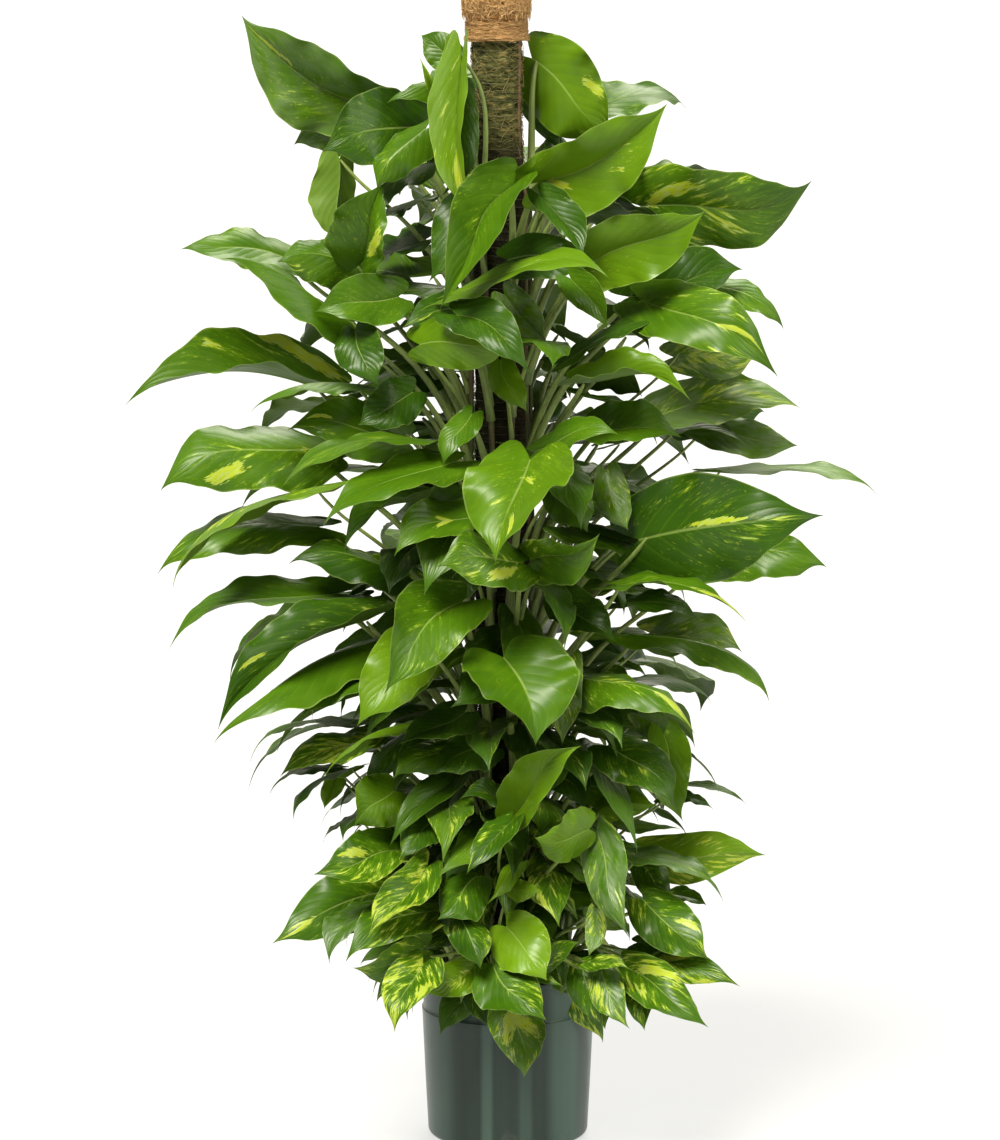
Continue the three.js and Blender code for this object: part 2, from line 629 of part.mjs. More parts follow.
// A thin closed blade, its two faces split into triangles alike. Its seat is the triangle under it
// that the petiole meets.
function bladeMesh(leaf, thickness) {
  const { rows, columns } = BLADE_CUTS.find((cut) => leaf.width >= cut.width);
  const points = rows.flatMap((u) => columns.map((v) => bladePoint(leaf, u, v)));
  points.push(bladePoint(leaf, 1, 0));
  const wide = columns.length;
  const tip = points.length - 1;
  const face = [];
  for (let r = 0; r < rows.length - 1; r++) {
    for (let c = 0; c < wide - 1; c++) {
      const [a, b] = [r * wide + c, r * wide + c + 1];
      const [d, e] = [a + wide, b + wide];
      if (c < (wide - 1) / 2) face.push([a, b, e], [a, e, d]);
      else face.push([a, b, d], [b, e, d]);
    }
  }
  const lastRow = (rows.length - 1) * wide;
  for (let c = 0; c < wide - 1; c++) face.push([lastRow + c, lastRow + c + 1, tip]);

  const normals = points.map(() => new THREE.Vector3());
  for (const [a, b, c] of face) {
    const way = points[b].clone().sub(points[a]).cross(points[c].clone().sub(points[a]));
    if (way.dot(leaf.normal) < 0) way.negate();
    for (const i of [a, b, c]) normals[i].add(way);
  }
  const upper = points.map((p, i) => p.clone().addScaledVector(normals[i].normalize(), thickness));

  const rim = [];
  for (let r = 0; r < rows.length; r++) rim.push(r * wide);
  rim.push(tip);
  for (let r = rows.length - 1; r >= 0; r--) rim.push(r * wide + wide - 1);
  for (let c = wide - 2; c > 0; c--) rim.push(c);
  const count = points.length;
  const triangles = [];
  for (const [a, b, c] of face) triangles.push([a, b, c], [count + a, count + c, count + b]);
  rim.forEach((a, i) => {
    const b = rim[(i + 1) % rim.length];
    triangles.push([a, b, count + b], [a, count + b, count + a]);
  });
  const middle = (wide - 1) / 2;
  const seat = [middle, middle + 1, middle + wide];
  return { ...outward({ positions: [...points, ...upper], triangles }), seat };
}

function leafSize(leaf) {
  return THREE.MathUtils.clamp(leaf.width / LEAF_SIZE.width, LEAF_SIZE.least, LEAF_SIZE.most);
}

// The petiole leaves its stem upwards and outwards, and arches to the blade's base.
function petiolePoints(leaf, stem, [riseShare, bow], end) {
  const { base } = leaf;
  const flat = Math.hypot(base.x - poleX(base.z), base.y);
  const { share, least, most } = PETIOLE_RISE;
  const rise = riseShare * THREE.MathUtils.clamp(share * flat, least, most);
  const foot = THREE.MathUtils.clamp(base.z - rise, LOWEST_NODE, stem.top - STEM_TIP);
  const start = stem.middle(foot);
  const span = base.clone().sub(start);
  const size = span.length();
  const away = new THREE.Vector3(span.x, span.y, 0).normalize();
  const sideways = new THREE.Vector3(-away.y, away.x, 0);
  const first = start.clone().addScaledVector(away, PETIOLE_START.out * size);
  first.addScaledVector(sideways, bow).z += PETIOLE_START.up * size;
  const second = base.clone().addScaledVector(away, -PETIOLE_ARRIVAL.out * size);
  second.addScaledVector(sideways, bow).z -= PETIOLE_ARRIVAL.up * size * Math.sign(span.z);
  const steps = size > LONG_PETIOLE ? PETIOLE_STEPS : PETIOLE_STEPS - 1;
  return new THREE.CubicBezierCurve3(start, first, second, end).getPoints(steps);
}

function petioleMesh(leaf, stem, route, { extra = 0, sunk = false } = {}) {
  const under = BLADE_SEAT * leafSize(leaf);
  const end = sunk
    ? bladePoint(leaf, PETIOLE_REACH, 0)
    : leaf.base.clone().addScaledVector(leaf.along, under).addScaledVector(leaf.normal, -under);
  const points = petiolePoints(leaf, stem, route, end);
  const { foot, end: tip } = PETIOLE_RADIUS;
  const share = (i) => i / (points.length - 1);
  const radii = points.map((_, i) => leafSize(leaf) * (foot + (tip - foot) * share(i)) + extra);
  return barMesh(points, radii, PETIOLE_SIDES);
}

// The blade and its petiole as one solid: the petiole's last ring is let into a seat under the
// blade, or the petiole is sunk through it where the first would cross a lobe.
function leafSolid(leaf, stem, route) {
  const top = bladeMesh(leaf, BLADE_THICKNESS);
  const stalk = petioleMesh(leaf, stem, route);
  if (!solidFrom(top).intersect(solidFrom(stalk)).isEmpty()) {
    return solidFrom(top).add(solidFrom(petioleMesh(leaf, stem, route, { sunk: true })));
  }
  const isSeat = (triangle) => top.seat.every((i) => triangle.includes(i));
  const seat = top.triangles.find(isSeat);
  const [a, b, d] = seat.map((i) => top.positions[i]);
  const [toB, toD] = [b, d].map((p) => p.clone().sub(a).normalize());
  const far = SEAT_INSET + SEAT_SPAN * PETIOLE_RADIUS.end * leafSize(leaf);
  const ring = [[SEAT_INSET, SEAT_INSET], [far, SEAT_INSET], [SEAT_INSET, far]]
    .map(([s, t]) => a.clone().addScaledVector(toB, s).addScaledVector(toD, t));

  // The ring is numbered backwards, as seen from the stalk, and turned to twist the least.
  const firstStalk = top.positions.length;
  const lastRing = stalk.positions.length - PETIOLE_SIDES;
  const slot = (turn, i) => (turn - i + 2 * PETIOLE_SIDES) % PETIOLE_SIDES;
  const endOf = (turn, i) => stalk.positions[lastRing + slot(turn, i)];
  const twist = (turn) => ring.reduce((sum, p, i) => sum + p.distanceTo(endOf(turn, i)), 0);
  const [turn] = [0, 1, 2].sort((i, j) => twist(i) - twist(j));
  const seatAt = (i) => firstStalk + lastRing + slot(turn, i);
  ring.forEach((p, i) => endOf(turn, i).copy(p));

  const isCap = (triangle) => triangle.every((i) => i >= lastRing);
  const triangles = top.triangles.filter((triangle) => !isSeat(triangle));
  for (const triangle of stalk.triangles) {
    if (!isCap(triangle)) triangles.push(triangle.map((i) => i + firstStalk));
  }
  for (let i = 0; i < PETIOLE_SIDES; i++) {
    const j = (i + 1) % PETIOLE_SIDES;
    triangles.push([seat[i], seat[j], seatAt(j)], [seat[i], seatAt(j), seatAt(i)]);
  }
  return solidFrom({ positions: [...top.positions, ...stalk.positions], triangles });
}

// ---- Placing the leaves ----

// The point at a depth in front of the pole that the eye sees at (x, z) in the pole's plane.
function sighted(x, z, near) {
  return EYE.clone().lerp(new THREE.Vector3(x, 0, z), (-EYE.y - near) / -EYE.y);
}

function shaped(base, tip, normal, width, fold, arch, phase) {
  const along = tip.clone().sub(base);
  const length = along.length();
  along.normalize();
  normal.addScaledVector(along, -normal.dot(along)).normalize();
  const across = normal.clone().cross(along);
  return { base, along, length, normal, across, width, fold, arch, phase };
}

function listedLeaf([bx, bz, bNear, tx, tz, tNear, width, face, fold, arch], index) {
  return (shift) => {
    const lean = LEAN_OUT * THREE.MathUtils.clamp(bNear / FRONT, -1, 1);
    const base = sighted(bx, bz, bNear + shift);
    const tip = sighted(tx, tz, tNear + lean * Math.hypot(tx - bx, tz - bz) + shift);
    const along = tip.clone().sub(base).normalize();
    const toEye = EYE.clone().sub(base);
    toEye.addScaledVector(along, -toEye.dot(along)).normalize();
    const upward = along.clone().cross(toEye).multiplyScalar(tx < bx ? 1 : -1);
    const turn = degToRad(face);
    const normal = upward.multiplyScalar(Math.cos(turn)).addScaledVector(toEye, Math.sin(turn));
    return shaped(base, tip, normal, width, degToRad(fold), arch, PHASE_STEP * index);
  };
}

function randomFrom(seed) {
  let state = seed;
  return () => {
    state = (Math.imul(state, 1664525) + 1013904223) >>> 0;
    return state / 4294967296;
  };
}

function bandLeaves(band, random, firstIndex) {
  const vary = (trait) => VARIES[trait][0] + (VARIES[trait][1] - VARIES[trait][0]) * random();
  return Array.from({ length: band.count }, (_, i) => {
    const index = i + firstIndex;
    const share = (i + 0.5) / band.count;
    const between = ([low, high]) => low + (high - low) * share;
    const spot = (GOLDEN_ANGLE * index + vary('spot')) % 1;
    const direction = band.from + (band.to - band.from) * spot;
    const z = between(band.z) + vary('height');
    const baseReach = between(band.base) * vary('base');
    const tipReach = between(band.tip) * vary('tip');
    const drop = between(band.drop) * vary('drop');
    const yaw = degToRad(vary('yaw'));
    const roll = vary('roll');
    const width = between(band.width) * vary('width');
    const fold = degToRad(vary('fold'));
    const arch = vary('arch');
    const out = (turn, reach, height) => new THREE.Vector3(
      poleX(z) + reach * Math.cos(turn), reach * Math.sin(turn), height);
    return (shift) => {
      const turn = degToRad(direction + TURN_PER_SHIFT * shift);
      const base = out(turn, baseReach, z);
      const tip = out(turn + yaw, tipReach, z - drop);
      const normal = new THREE.Vector3(
        FACING_OUT * Math.cos(turn) - roll * Math.sin(turn),
        FACING_OUT * Math.sin(turn) + roll * Math.cos(turn),
        1);
      return shaped(base, tip, normal, width, fold, arch, PHASE_STEP * index);
    };
  });
}

function allLeaves() {
  const listed = [...TOP_LEAVES, ...MIDDLE_LEAVES, ...LOWER_LEAVES, ...INNER_LEAVES].map(listedLeaf);
  const random = randomFrom(RULE_SEED);
  const ruled = [];
  for (const band of BANDS) ruled.push(...bandLeaves(band, random, ruled.length));
  return [...listed, ...ruled];
}

// The stem that a leaf grows from: the nearest one round the pole that reaches its height.
function stemFor(leaf, stems) {
  const { base } = leaf;
  const young = base.z < YOUNG_LEAVES_BELOW;
  const around = THREE.MathUtils.radToDeg(Math.atan2(base.y, base.x - poleX(base.z)));
  const gap = (stem) => Math.abs(((around - stem.direction) % 360 + 540) % 360 - 180);
  const able = stems.filter((stem) =>
    stem.name.startsWith('young') === young && stem.top > base.z - STEM_REACH);
  return able.sort((a, b) => gap(a) - gap(b))[0];
}

function apart(a, b) {
  return [0, 1, 2].some((k) => a.min[k] > b.max[k] || b.min[k] > a.max[k]);
}

const entry = (solid, owner, kind) => ({ solid, owner, kind, box: solid.boundingBox() });

function clearOf(probe, placed, skip) {
  const box = probe.boundingBox();
  return placed.every((other) =>
    skip(other) || apart(box, other.box) || probe.intersect(other.solid).isEmpty());
}

// The first shift and route at which a leaf clears everything placed before it. Where there is
// none, it may cross leaves of its own stem, and is fused with them.
function findPlace(leafAt, stems, placed) {
  for (const crossOwn of [false, true]) {
    for (const shift of SHIFTS) {
      const leaf = leafAt(shift);
      const stem = stemFor(leaf, stems);
      const own = (other) => other.owner === stem.name;
      const bladeSkip = (other) => crossOwn && own(other) && other.kind !== 'stem';
      if (!clearOf(solidFrom(bladeMesh(leaf, BLADE_THICKNESS + AIR)), placed, bladeSkip)) continue;
      const stalkSkip = (other) => own(other) && (crossOwn || other.kind !== 'blade');
      const stalk = (way) => solidFrom(petioleMesh(leaf, stem, way, { extra: AIR }));
      const route = ROUTES.find((way) => clearOf(stalk(way), placed, stalkSkip));
      if (route) return { leaf, stem, route };
    }
  }
  throw new Error('A leaf has no clear place.');
}

function growVines(fixed) {
  const stems = [...VINES.map(climbingStem), ...YOUNG_STEMS.map(youngStem)];
  const placed = fixed.map((solid) => entry(solid, 'fixed', 'fixed'));
  const grown = new Map();
  for (const stem of stems) {
    const bar = stemBar(stem);
    placed.push(entry(bar, stem.name, 'stem'));
    grown.set(stem.name, [bar]);
  }
  for (const leafAt of allLeaves()) {
    const { leaf, stem, route } = findPlace(leafAt, stems, placed);
    placed.push(
      entry(solidFrom(bladeMesh(leaf, BLADE_THICKNESS)), stem.name, 'blade'),
      entry(solidFrom(petioleMesh(leaf, stem, route)), stem.name, 'stalk'));
    grown.get(stem.name).push(leafSolid(leaf, stem, route));
  }
  return { stems, grown };
}

// ---- Assembly ----

const potShell = pot();
const poleStake = stake();
const mossSleeve = sleeve();
const binding = neckBinding();
const head = coirHead();
const filling = soil();
const solidFilling = filling.subtract(sleeve(CLEARANCE));
const { stems, grown } = growVines([potShell, mossSleeve, binding, head, solidFilling]);

const stemHoles = Manifold.union(stems.map((stem) => stemBar(stem, CLEARANCE)));
const holedSoil = solidFilling.subtract(stake(CLEARANCE)).subtract(stemHoles);

addPiece('pot', potShell, 0x46524f, 0.45);
addPiece('potting_soil', holedSoil, 0x3a2a20, 0.95);
addPiece('pole_stake', poleStake, 0x8a6a48, 0.8);
addPiece('moss_sleeve', mossSleeve, 0x4a4c2c, 0.95);
addPiece('neck_binding', binding, 0x8a6b4a, 0.9);
addPiece('coir_head', head, 0x9a7a55, 0.95);
for (const [name, parts] of grown) addPiece(name, Manifold.union(parts), 0x4f8a1e, 0.45);

export default plant;
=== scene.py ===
"""A pothos on its moss pole in a nursery pot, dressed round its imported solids.

Metres, +Z up, in the part's own frame. Each leafy stem is made again from the same list of leaves
as its solid, with smooth blades, veins and colour; the pole gets its moss and coir, the pot its
turned shell, and the mix its crumbs.
"""

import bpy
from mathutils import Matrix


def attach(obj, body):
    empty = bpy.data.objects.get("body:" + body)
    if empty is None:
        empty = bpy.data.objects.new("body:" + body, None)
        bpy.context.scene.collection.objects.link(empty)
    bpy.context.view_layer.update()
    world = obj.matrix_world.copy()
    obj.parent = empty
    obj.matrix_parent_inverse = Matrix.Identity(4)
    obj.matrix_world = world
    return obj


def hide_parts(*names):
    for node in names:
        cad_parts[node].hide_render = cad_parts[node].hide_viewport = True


bl_info = {
    "name": "Potted pothos",
    "version": (1, 0, 0),
    "blender": (4, 5, 0),
    "location": "3D View > Sidebar > Pothos",
    "description": "Builds a variegated pothos on a moss pole, in its nursery pot",
    "category": "Object",
}

import math

import bmesh
import bpy
import numpy as np
from bpy.props import FloatProperty, FloatVectorProperty, IntProperty, PointerProperty
from mathutils import Matrix, Vector, kdtree, noise
from mathutils.bvhtree import BVHTree

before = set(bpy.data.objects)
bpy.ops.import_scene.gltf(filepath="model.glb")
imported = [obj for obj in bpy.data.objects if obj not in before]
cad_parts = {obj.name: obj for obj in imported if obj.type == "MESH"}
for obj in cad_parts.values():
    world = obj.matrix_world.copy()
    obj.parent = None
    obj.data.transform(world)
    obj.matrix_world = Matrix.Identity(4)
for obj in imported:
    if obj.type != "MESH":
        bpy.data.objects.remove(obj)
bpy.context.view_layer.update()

MM = 0.001

# ---- Sizes of the solids, in millimetres ----

POT = {
    "height": 235,
    "base": 111,
    "shoulder": 119.5,
    "collar": 117.3,
    "rim": 120,
    "shoulder_z": 180,
    "wall": 2.6,
    "floor": 4,
    "corner": 8,
    "lip": 7,
}
DRAIN = {"count": 6, "radius": 7, "ring": 78, "sides": 20, "cut": 10}
SOIL = {"edge_z": 211, "middle_z": 217}
LEAN = math.radians(0.584)
SLEEVE = {"radius": 35.5, "foot": 190, "top": 1510}
NECK = {"radius": 40, "flare": 43, "top": 1536}
HEAD = {"radius": 45.5, "top": 1602}

STEM_FOOT = 168
PETIOLE_STEPS = 3
PETIOLE_RADIUS = (5.6, 2.6)
PETIOLE_RISE = {"share": 1.1, "least": 60, "most": 280}
# A petiole starts at least so far above the mix and so far below its stem's tip.
PETIOLE_ENDS = {"above_mix": 14, "below_tip": 4}
PETIOLE_START = {"up": 0.55, "out": 0.2}
PETIOLE_ARRIVAL = {"up": 0.24, "out": 0.18}
PETIOLE_REACH = 0.05
LONG_PETIOLE = 340
BLADE_SEAT = 2.4
# Width of a leaf at full size, and the smallest and largest size.
LEAF_SIZE = {"full": 90, "least": 0.6, "most": 1.15}
# Each leaf's phase is a step past the one before.
PHASE_STEP = 2.4

# The eye that the leaf lists are sighted from.
EYE = Vector((-11, -5800, 1624))

CLIMB_RADIUS = 44
WEAVE = {"swing": 7, "pitch": 150, "apart": 1.9}
# Climbing vines hold to the pole: direction round it in degrees, top, stem radius.
VINES = [
    (-72, 1330, 5.0),
    (-112, 1300, 5.0),
    (-30, 1330, 4.6),
    (-153, 1400, 4.6),
    (14, 1300, 4.4),
    (166, 1420, 4.4),
    (58, 1360, 4.6),
    (122, 1320, 4.6),
]
# Young stems stand round it in the mix: direction, foot and top distance from the pole, top, radius.
YOUNG_STEMS = [
    (-62, 76, 104, 372, 3.4),
    (-104, 78, 96, 352, 3.4),
    (-146, 76, 112, 392, 3.4),
    (-18, 78, 118, 376, 3.4),
    (172, 78, 120, 384, 3.4),
    (32, 76, 104, 362, 3.2),
    (84, 76, 100, 372, 3.2),
    (133, 78, 104, 352, 3.2),
]
YOUNG_LEAVES_BELOW = 430
# A leaf may stand this far above the tip of the stem it grows from.
LEAF_OVER_STEM = 200
# A leaf's tip comes forward by this share of its length in the picture, in full where its base
# stands FRONT before the pole, less where it stands nearer, and back where it stands behind.
LEAN_OUT = 0.45
FRONT = 150

# How a leaf looks: its green from deep (0) to bright (1), and how far it is paled by painted sheen,
# a grey green that stands in for light reflected off the glossy blade.
# The greens are partly each leaf's own and partly painted light and shade: BRIGHT and LIME stand in for light
# shining through a leaf, the darker greens for shade deep in the foliage.
BRIGHT = (0.85, 0.0)
LIME = (1.0, 0.05)
FRESH = (0.7, 0.0)
MID = (0.55, 0.0)
# Painted shade, given to the lower leaves under the rest of the foliage.
SHADY = (0.36, 0.0)
# A mid green paled by painted sheen.
SHEENED = (0.6, 0.25)
DARK = (0.22, 0.0)
# Grey and pale leaves are paled by painted sheen.
GREY = (0.4, 0.35)
PALE = (0.65, 0.5)

# Each leaf: base x, z and near, tip x, z and near, width, face, fold, arch, as in its solid; then
# its look and how much of it is yellow or cream. Near is how far in front of the pole it stands.
# Some carry a bold patch: its place along the midrib, which side it is on, and its half width and
# half length along a side vein.
TOP_LEAVES = [
    (-188, 1424, 0, -360, 1542, 40, 118, 117, 27, 0.02, SHEENED, 0.04, (0.7, -0.12, 0.22, 0.08)),
    (-200, 1400, 0, -290, 1372, 10, 70, 60, 0, 0.04, PALE, 0.12),
    (-118, 1395, 60, -250, 1362, 110, 105, 80, 10, 0.05, DARK, 0.03),
    (-228, 1352, 30, -212, 1234, 50, 72, 240, 15, 0.03, LIME, 0.0),
    (-197, 1213, 95, -165, 1322, 90, 110, 58, 32, 0.05, MID, 0.08, (0.12, -0.55, 0.13, 0.36)),
    (-112, 1392, 75, -178, 1312, 80, 60, 60, -20, 0.05, MID, 0.05),
    (-60, 1462, 40, -165, 1428, 70, 50, 40, -25, 0.06, MID, 0.0),
    (-70, 1480, -40, -118, 1518, -60, 50, 90, 10, 0, MID, 0.0),
    (-88, 1392, 95, -119, 1488, 90, 26, 90, 50, 0, LIME, 0.4),
    (-62, 1440, 60, -92, 1300, 80, 60, 100, 20, 0.05, DARK, 0.0),
    (-62, 1488, 70, -44, 1265, 95, 72, 115, 45, 0.03, LIME, 0.08, (0.68, 0, 0.15, 1.2)),
    (32, 1487, -30, 142, 1388, -20, 108, 90, 5, 0.04, BRIGHT, 0.12, (0.29, 0.7, 0.1, 0.22)),
    (20, 1440, -60, 70, 1362, -60, 45, 90, 0, 0, PALE, 0.0),
    (40, 1320, 90, 215, 1424, 110, 112, 112, 22, 0.03, BRIGHT, 0.1, (0.07, -0.15, 0.05, 0.2)),
    (6, 1315, 62, -92, 1152, 150, 104, 76, 30, 0.08, MID, 0.05),
    (45, 1300, 110, 100, 1213, 140, 55, 60, 30, 0, DARK, 0.0),
    (180, 1288, -20, 412, 1320, 0, 125, 115, 26, 0.03, MID, 0.25, (0.04, 0.32, 0.05, 0.5)),
    (105, 1205, 90, 266, 1279, 110, 95, 108, 28, -0.04, BRIGHT, 0.05),
    (85, 1190, 150, 135, 1120, 170, 50, 90, 15, 0, MID, 0.0),
    (165, 1165, 20, 318, 1205, 10, 95, 55, 10, 0.05, DARK, 0.0),
    (182, 1160, 70, 367, 1058, 120, 100, 75, 10, 0.2, MID, 0.3, (0.62, 0.2, 0.05, 0.4)),
    (270, 1180, 0, 376, 1122, 10, 60, 50, 0, 0.1, MID, 0.1),
    (225, 1083, 30, 345, 1095, 50, 60, 80, 0, 0.05, PALE, 0.6),
    (85, 1082, 60, 238, 1132, 80, 60, 15, 10, 0.05, DARK, 0.0),
    (100, 1048, 120, 248, 1026, 150, 98, 52, 38, 0.1, BRIGHT, 0.1),
    (120, 985, 100, 236, 975, 110, 80, 60, 20, 0.15, MID, 0.15),
    (205, 1002, 60, 398, 1018, 40, 90, 40, 20, 0.03, PALE, 0.4),
    (240, 1000, 0, 350, 1010, -20, 80, 60, 0, 0.1, DARK, 0.05),
    (265, 985, 20, 396, 963, 20, 62, 70, 0, 0.08, PALE, 0.15),
    (150, 965, 60, 330, 962, 40, 70, 20, 0, 0.05, DARK, 0.0),
    (-290, 1212, 50, -443, 1233, 70, 90, 45, 0, 0.05, MID, 0.05),
    (-203, 1208, 80, -312, 1214, 95, 78, 60, -10, 0.05, MID, 0.1),
    (-205, 1125, 90, -385, 1222, 100, 80, 22, -17, 0.03, MID, 0.05),
    (-150, 1165, 70, -262, 1145, 90, 75, 80, 10, 0.05, MID, 0.0),
    (-208, 1120, 95, -178, 1045, 120, 66, 90, 0, 0.05, DARK, 0.0),
    (-75, 1168, 150, 135, 1196, 190, 85, 28, 5, 0.03, BRIGHT, 0.05),
    (-35, 1150, 110, -143, 1125, 140, 60, 50, 0, 0.05, DARK, 0.2),
    (-120, 1100, 120, 15, 1112, 160, 70, 80, 0, 0.05, BRIGHT, 0.03),
    (-70, 1140, 125, 30, 1060, 150, 70, 70, 20, 0.1, DARK, 0.0),
    (-5, 1168, 100, 52, 1105, 120, 55, 90, 0, 0.05, PALE, 0.05),
]

MIDDLE_LEAVES = [
    (-255, 1040, 30, -523, 1024, 50, 112, 28, 30, 0.06, MID, 0.1, (-0.15, -0.72, 0.1, 0.32)),
    (-205, 1046, 80, -352, 1012, 110, 70, 20, -15, 0.08, MID, 0.0),
    (-262, 958, 60, -475, 904, 90, 115, 55, 5, 0.08, MID, 0.15, (0.35, 0.6, 0.09, 0.25)),
    (-150, 975, 70, -300, 985, 70, 80, 70, 0, 0.08, MID, 0.1, (0.6, -0.3, 0.07, 0.2)),
    (-95, 968, 130, -312, 910, 170, 80, 15, -20, 0.08, MID, 0.1),
    (-262, 905, 90, -464, 770, 120, 70, 15, -25, 0.08, BRIGHT, 0.35),
    (-262, 850, 50, -482, 790, 60, 90, 35, 5, 0.1, MID, 0.2),
    (-75, 938, 160, -256, 856, 200, 85, 30, 15, 0.05, MID, 0.03),
    (-35, 868, 180, -155, 812, 210, 70, 60, 10, 0.05, MID, 0.1, (0.39, 0.05, 0.06, 0.3)),
    (30, 942, 215, -18, 803, 270, 160, 72, 12, 0.03, FRESH, 0.12, (0.56, 0.38, 0.05, 0.22)),
    (40, 955, 170, 150, 978, 190, 60, 60, 0, 0.05, MID, 0.0),
    (290, 930, -30, 506, 900, -20, 70, 15, 0, 0.05, MID, 0.05),
    (180, 832, 150, 430, 866, 120, 150, 88, 4, 0.09, DARK, 0.06, (0.42, 0.08, 0.16, 0.07)),
    (262, 802, 40, 437, 798, 40, 84, 45, 0, 0.05, MID, 0.15),
    (150, 768, 120, 329, 722, 140, 90, 30, 0, 0.12, MID, 0.12, (0.74, 0.15, 0.16, 0.9)),
    (150, 745, 80, 262, 722, 80, 60, 30, -10, 0.05, DARK, 0.0),
    (195, 703, 40, 322, 677, 50, 62, 70, 20, 0.08, PALE, 0.35),
    (135, 925, 120, 165, 845, 130, 50, 90, 0, 0, PALE, 0.1),
    (-150, 790, 60, -300, 803, 80, 80, 25, -15, 0.08, DARK, 0.1),
    (-240, 757, 60, -468, 685, 80, 85, 35, 0, 0.1, MID, 0.0),
    (-192, 722, 90, -402, 572, 130, 126, 50, 40, 0.03, DARK, 0.1, (0.44, -0.5, 0.05, 0.2)),
    (-185, 690, 120, -408, 557, 150, 100, 30, -15, 0.05, MID, 0.05),
    (-150, 655, 130, -287, 587, 150, 60, 15, 0, 0.05, MID, 0.0),
    (-212, 582, 80, -358, 523, 100, 60, 25, -10, 0.1, MID, 0.1),
    (-190, 560, 110, -315, 505, 130, 65, 50, 0, 0.08, MID, 0.5),
    (-115, 700, 170, -207, 575, 200, 85, 85, 0, 0.08, BRIGHT, 0.0),
    (-62, 745, 200, -170, 620, 230, 105, 75, 15, 0.08, MID, 0.08),
    (-120, 580, 130, -255, 506, 150, 60, 20, -10, 0.08, BRIGHT, 0.05),
    (20, 800, 220, -95, 797, 250, 90, 60, 10, 0.05, MID, 0.2, (0.17, 0.5, 0.12, 0.3)),
    (35, 805, 200, 125, 840, 220, 80, 110, 20, 0.05, MID, 0.25),
    (-6, 668, 215, 38, 548, 250, 150, 80, 5, 0.05, MID, 0.07),
    (82, 662, 190, 75, 548, 200, 55, 90, 10, 0.03, PALE, 0.5),
    (105, 640, 150, 258, 565, 170, 95, 45, 0, 0.15, MID, 0.22, (0.74, 0.2, 0.15, 0.9)),
    (175, 700, 60, 362, 613, 70, 80, 25, -20, 0.08, MID, 0.15),
    (215, 560, 90, 242, 440, 110, 62, 90, 0, 0.08, FRESH, 0.05),
    (180, 590, 60, 238, 548, 70, 45, 80, 0, 0, PALE, 0.15),
    (140, 545, 140, 228, 462, 150, 80, 75, 10, 0.05, DARK, 0.05),
]

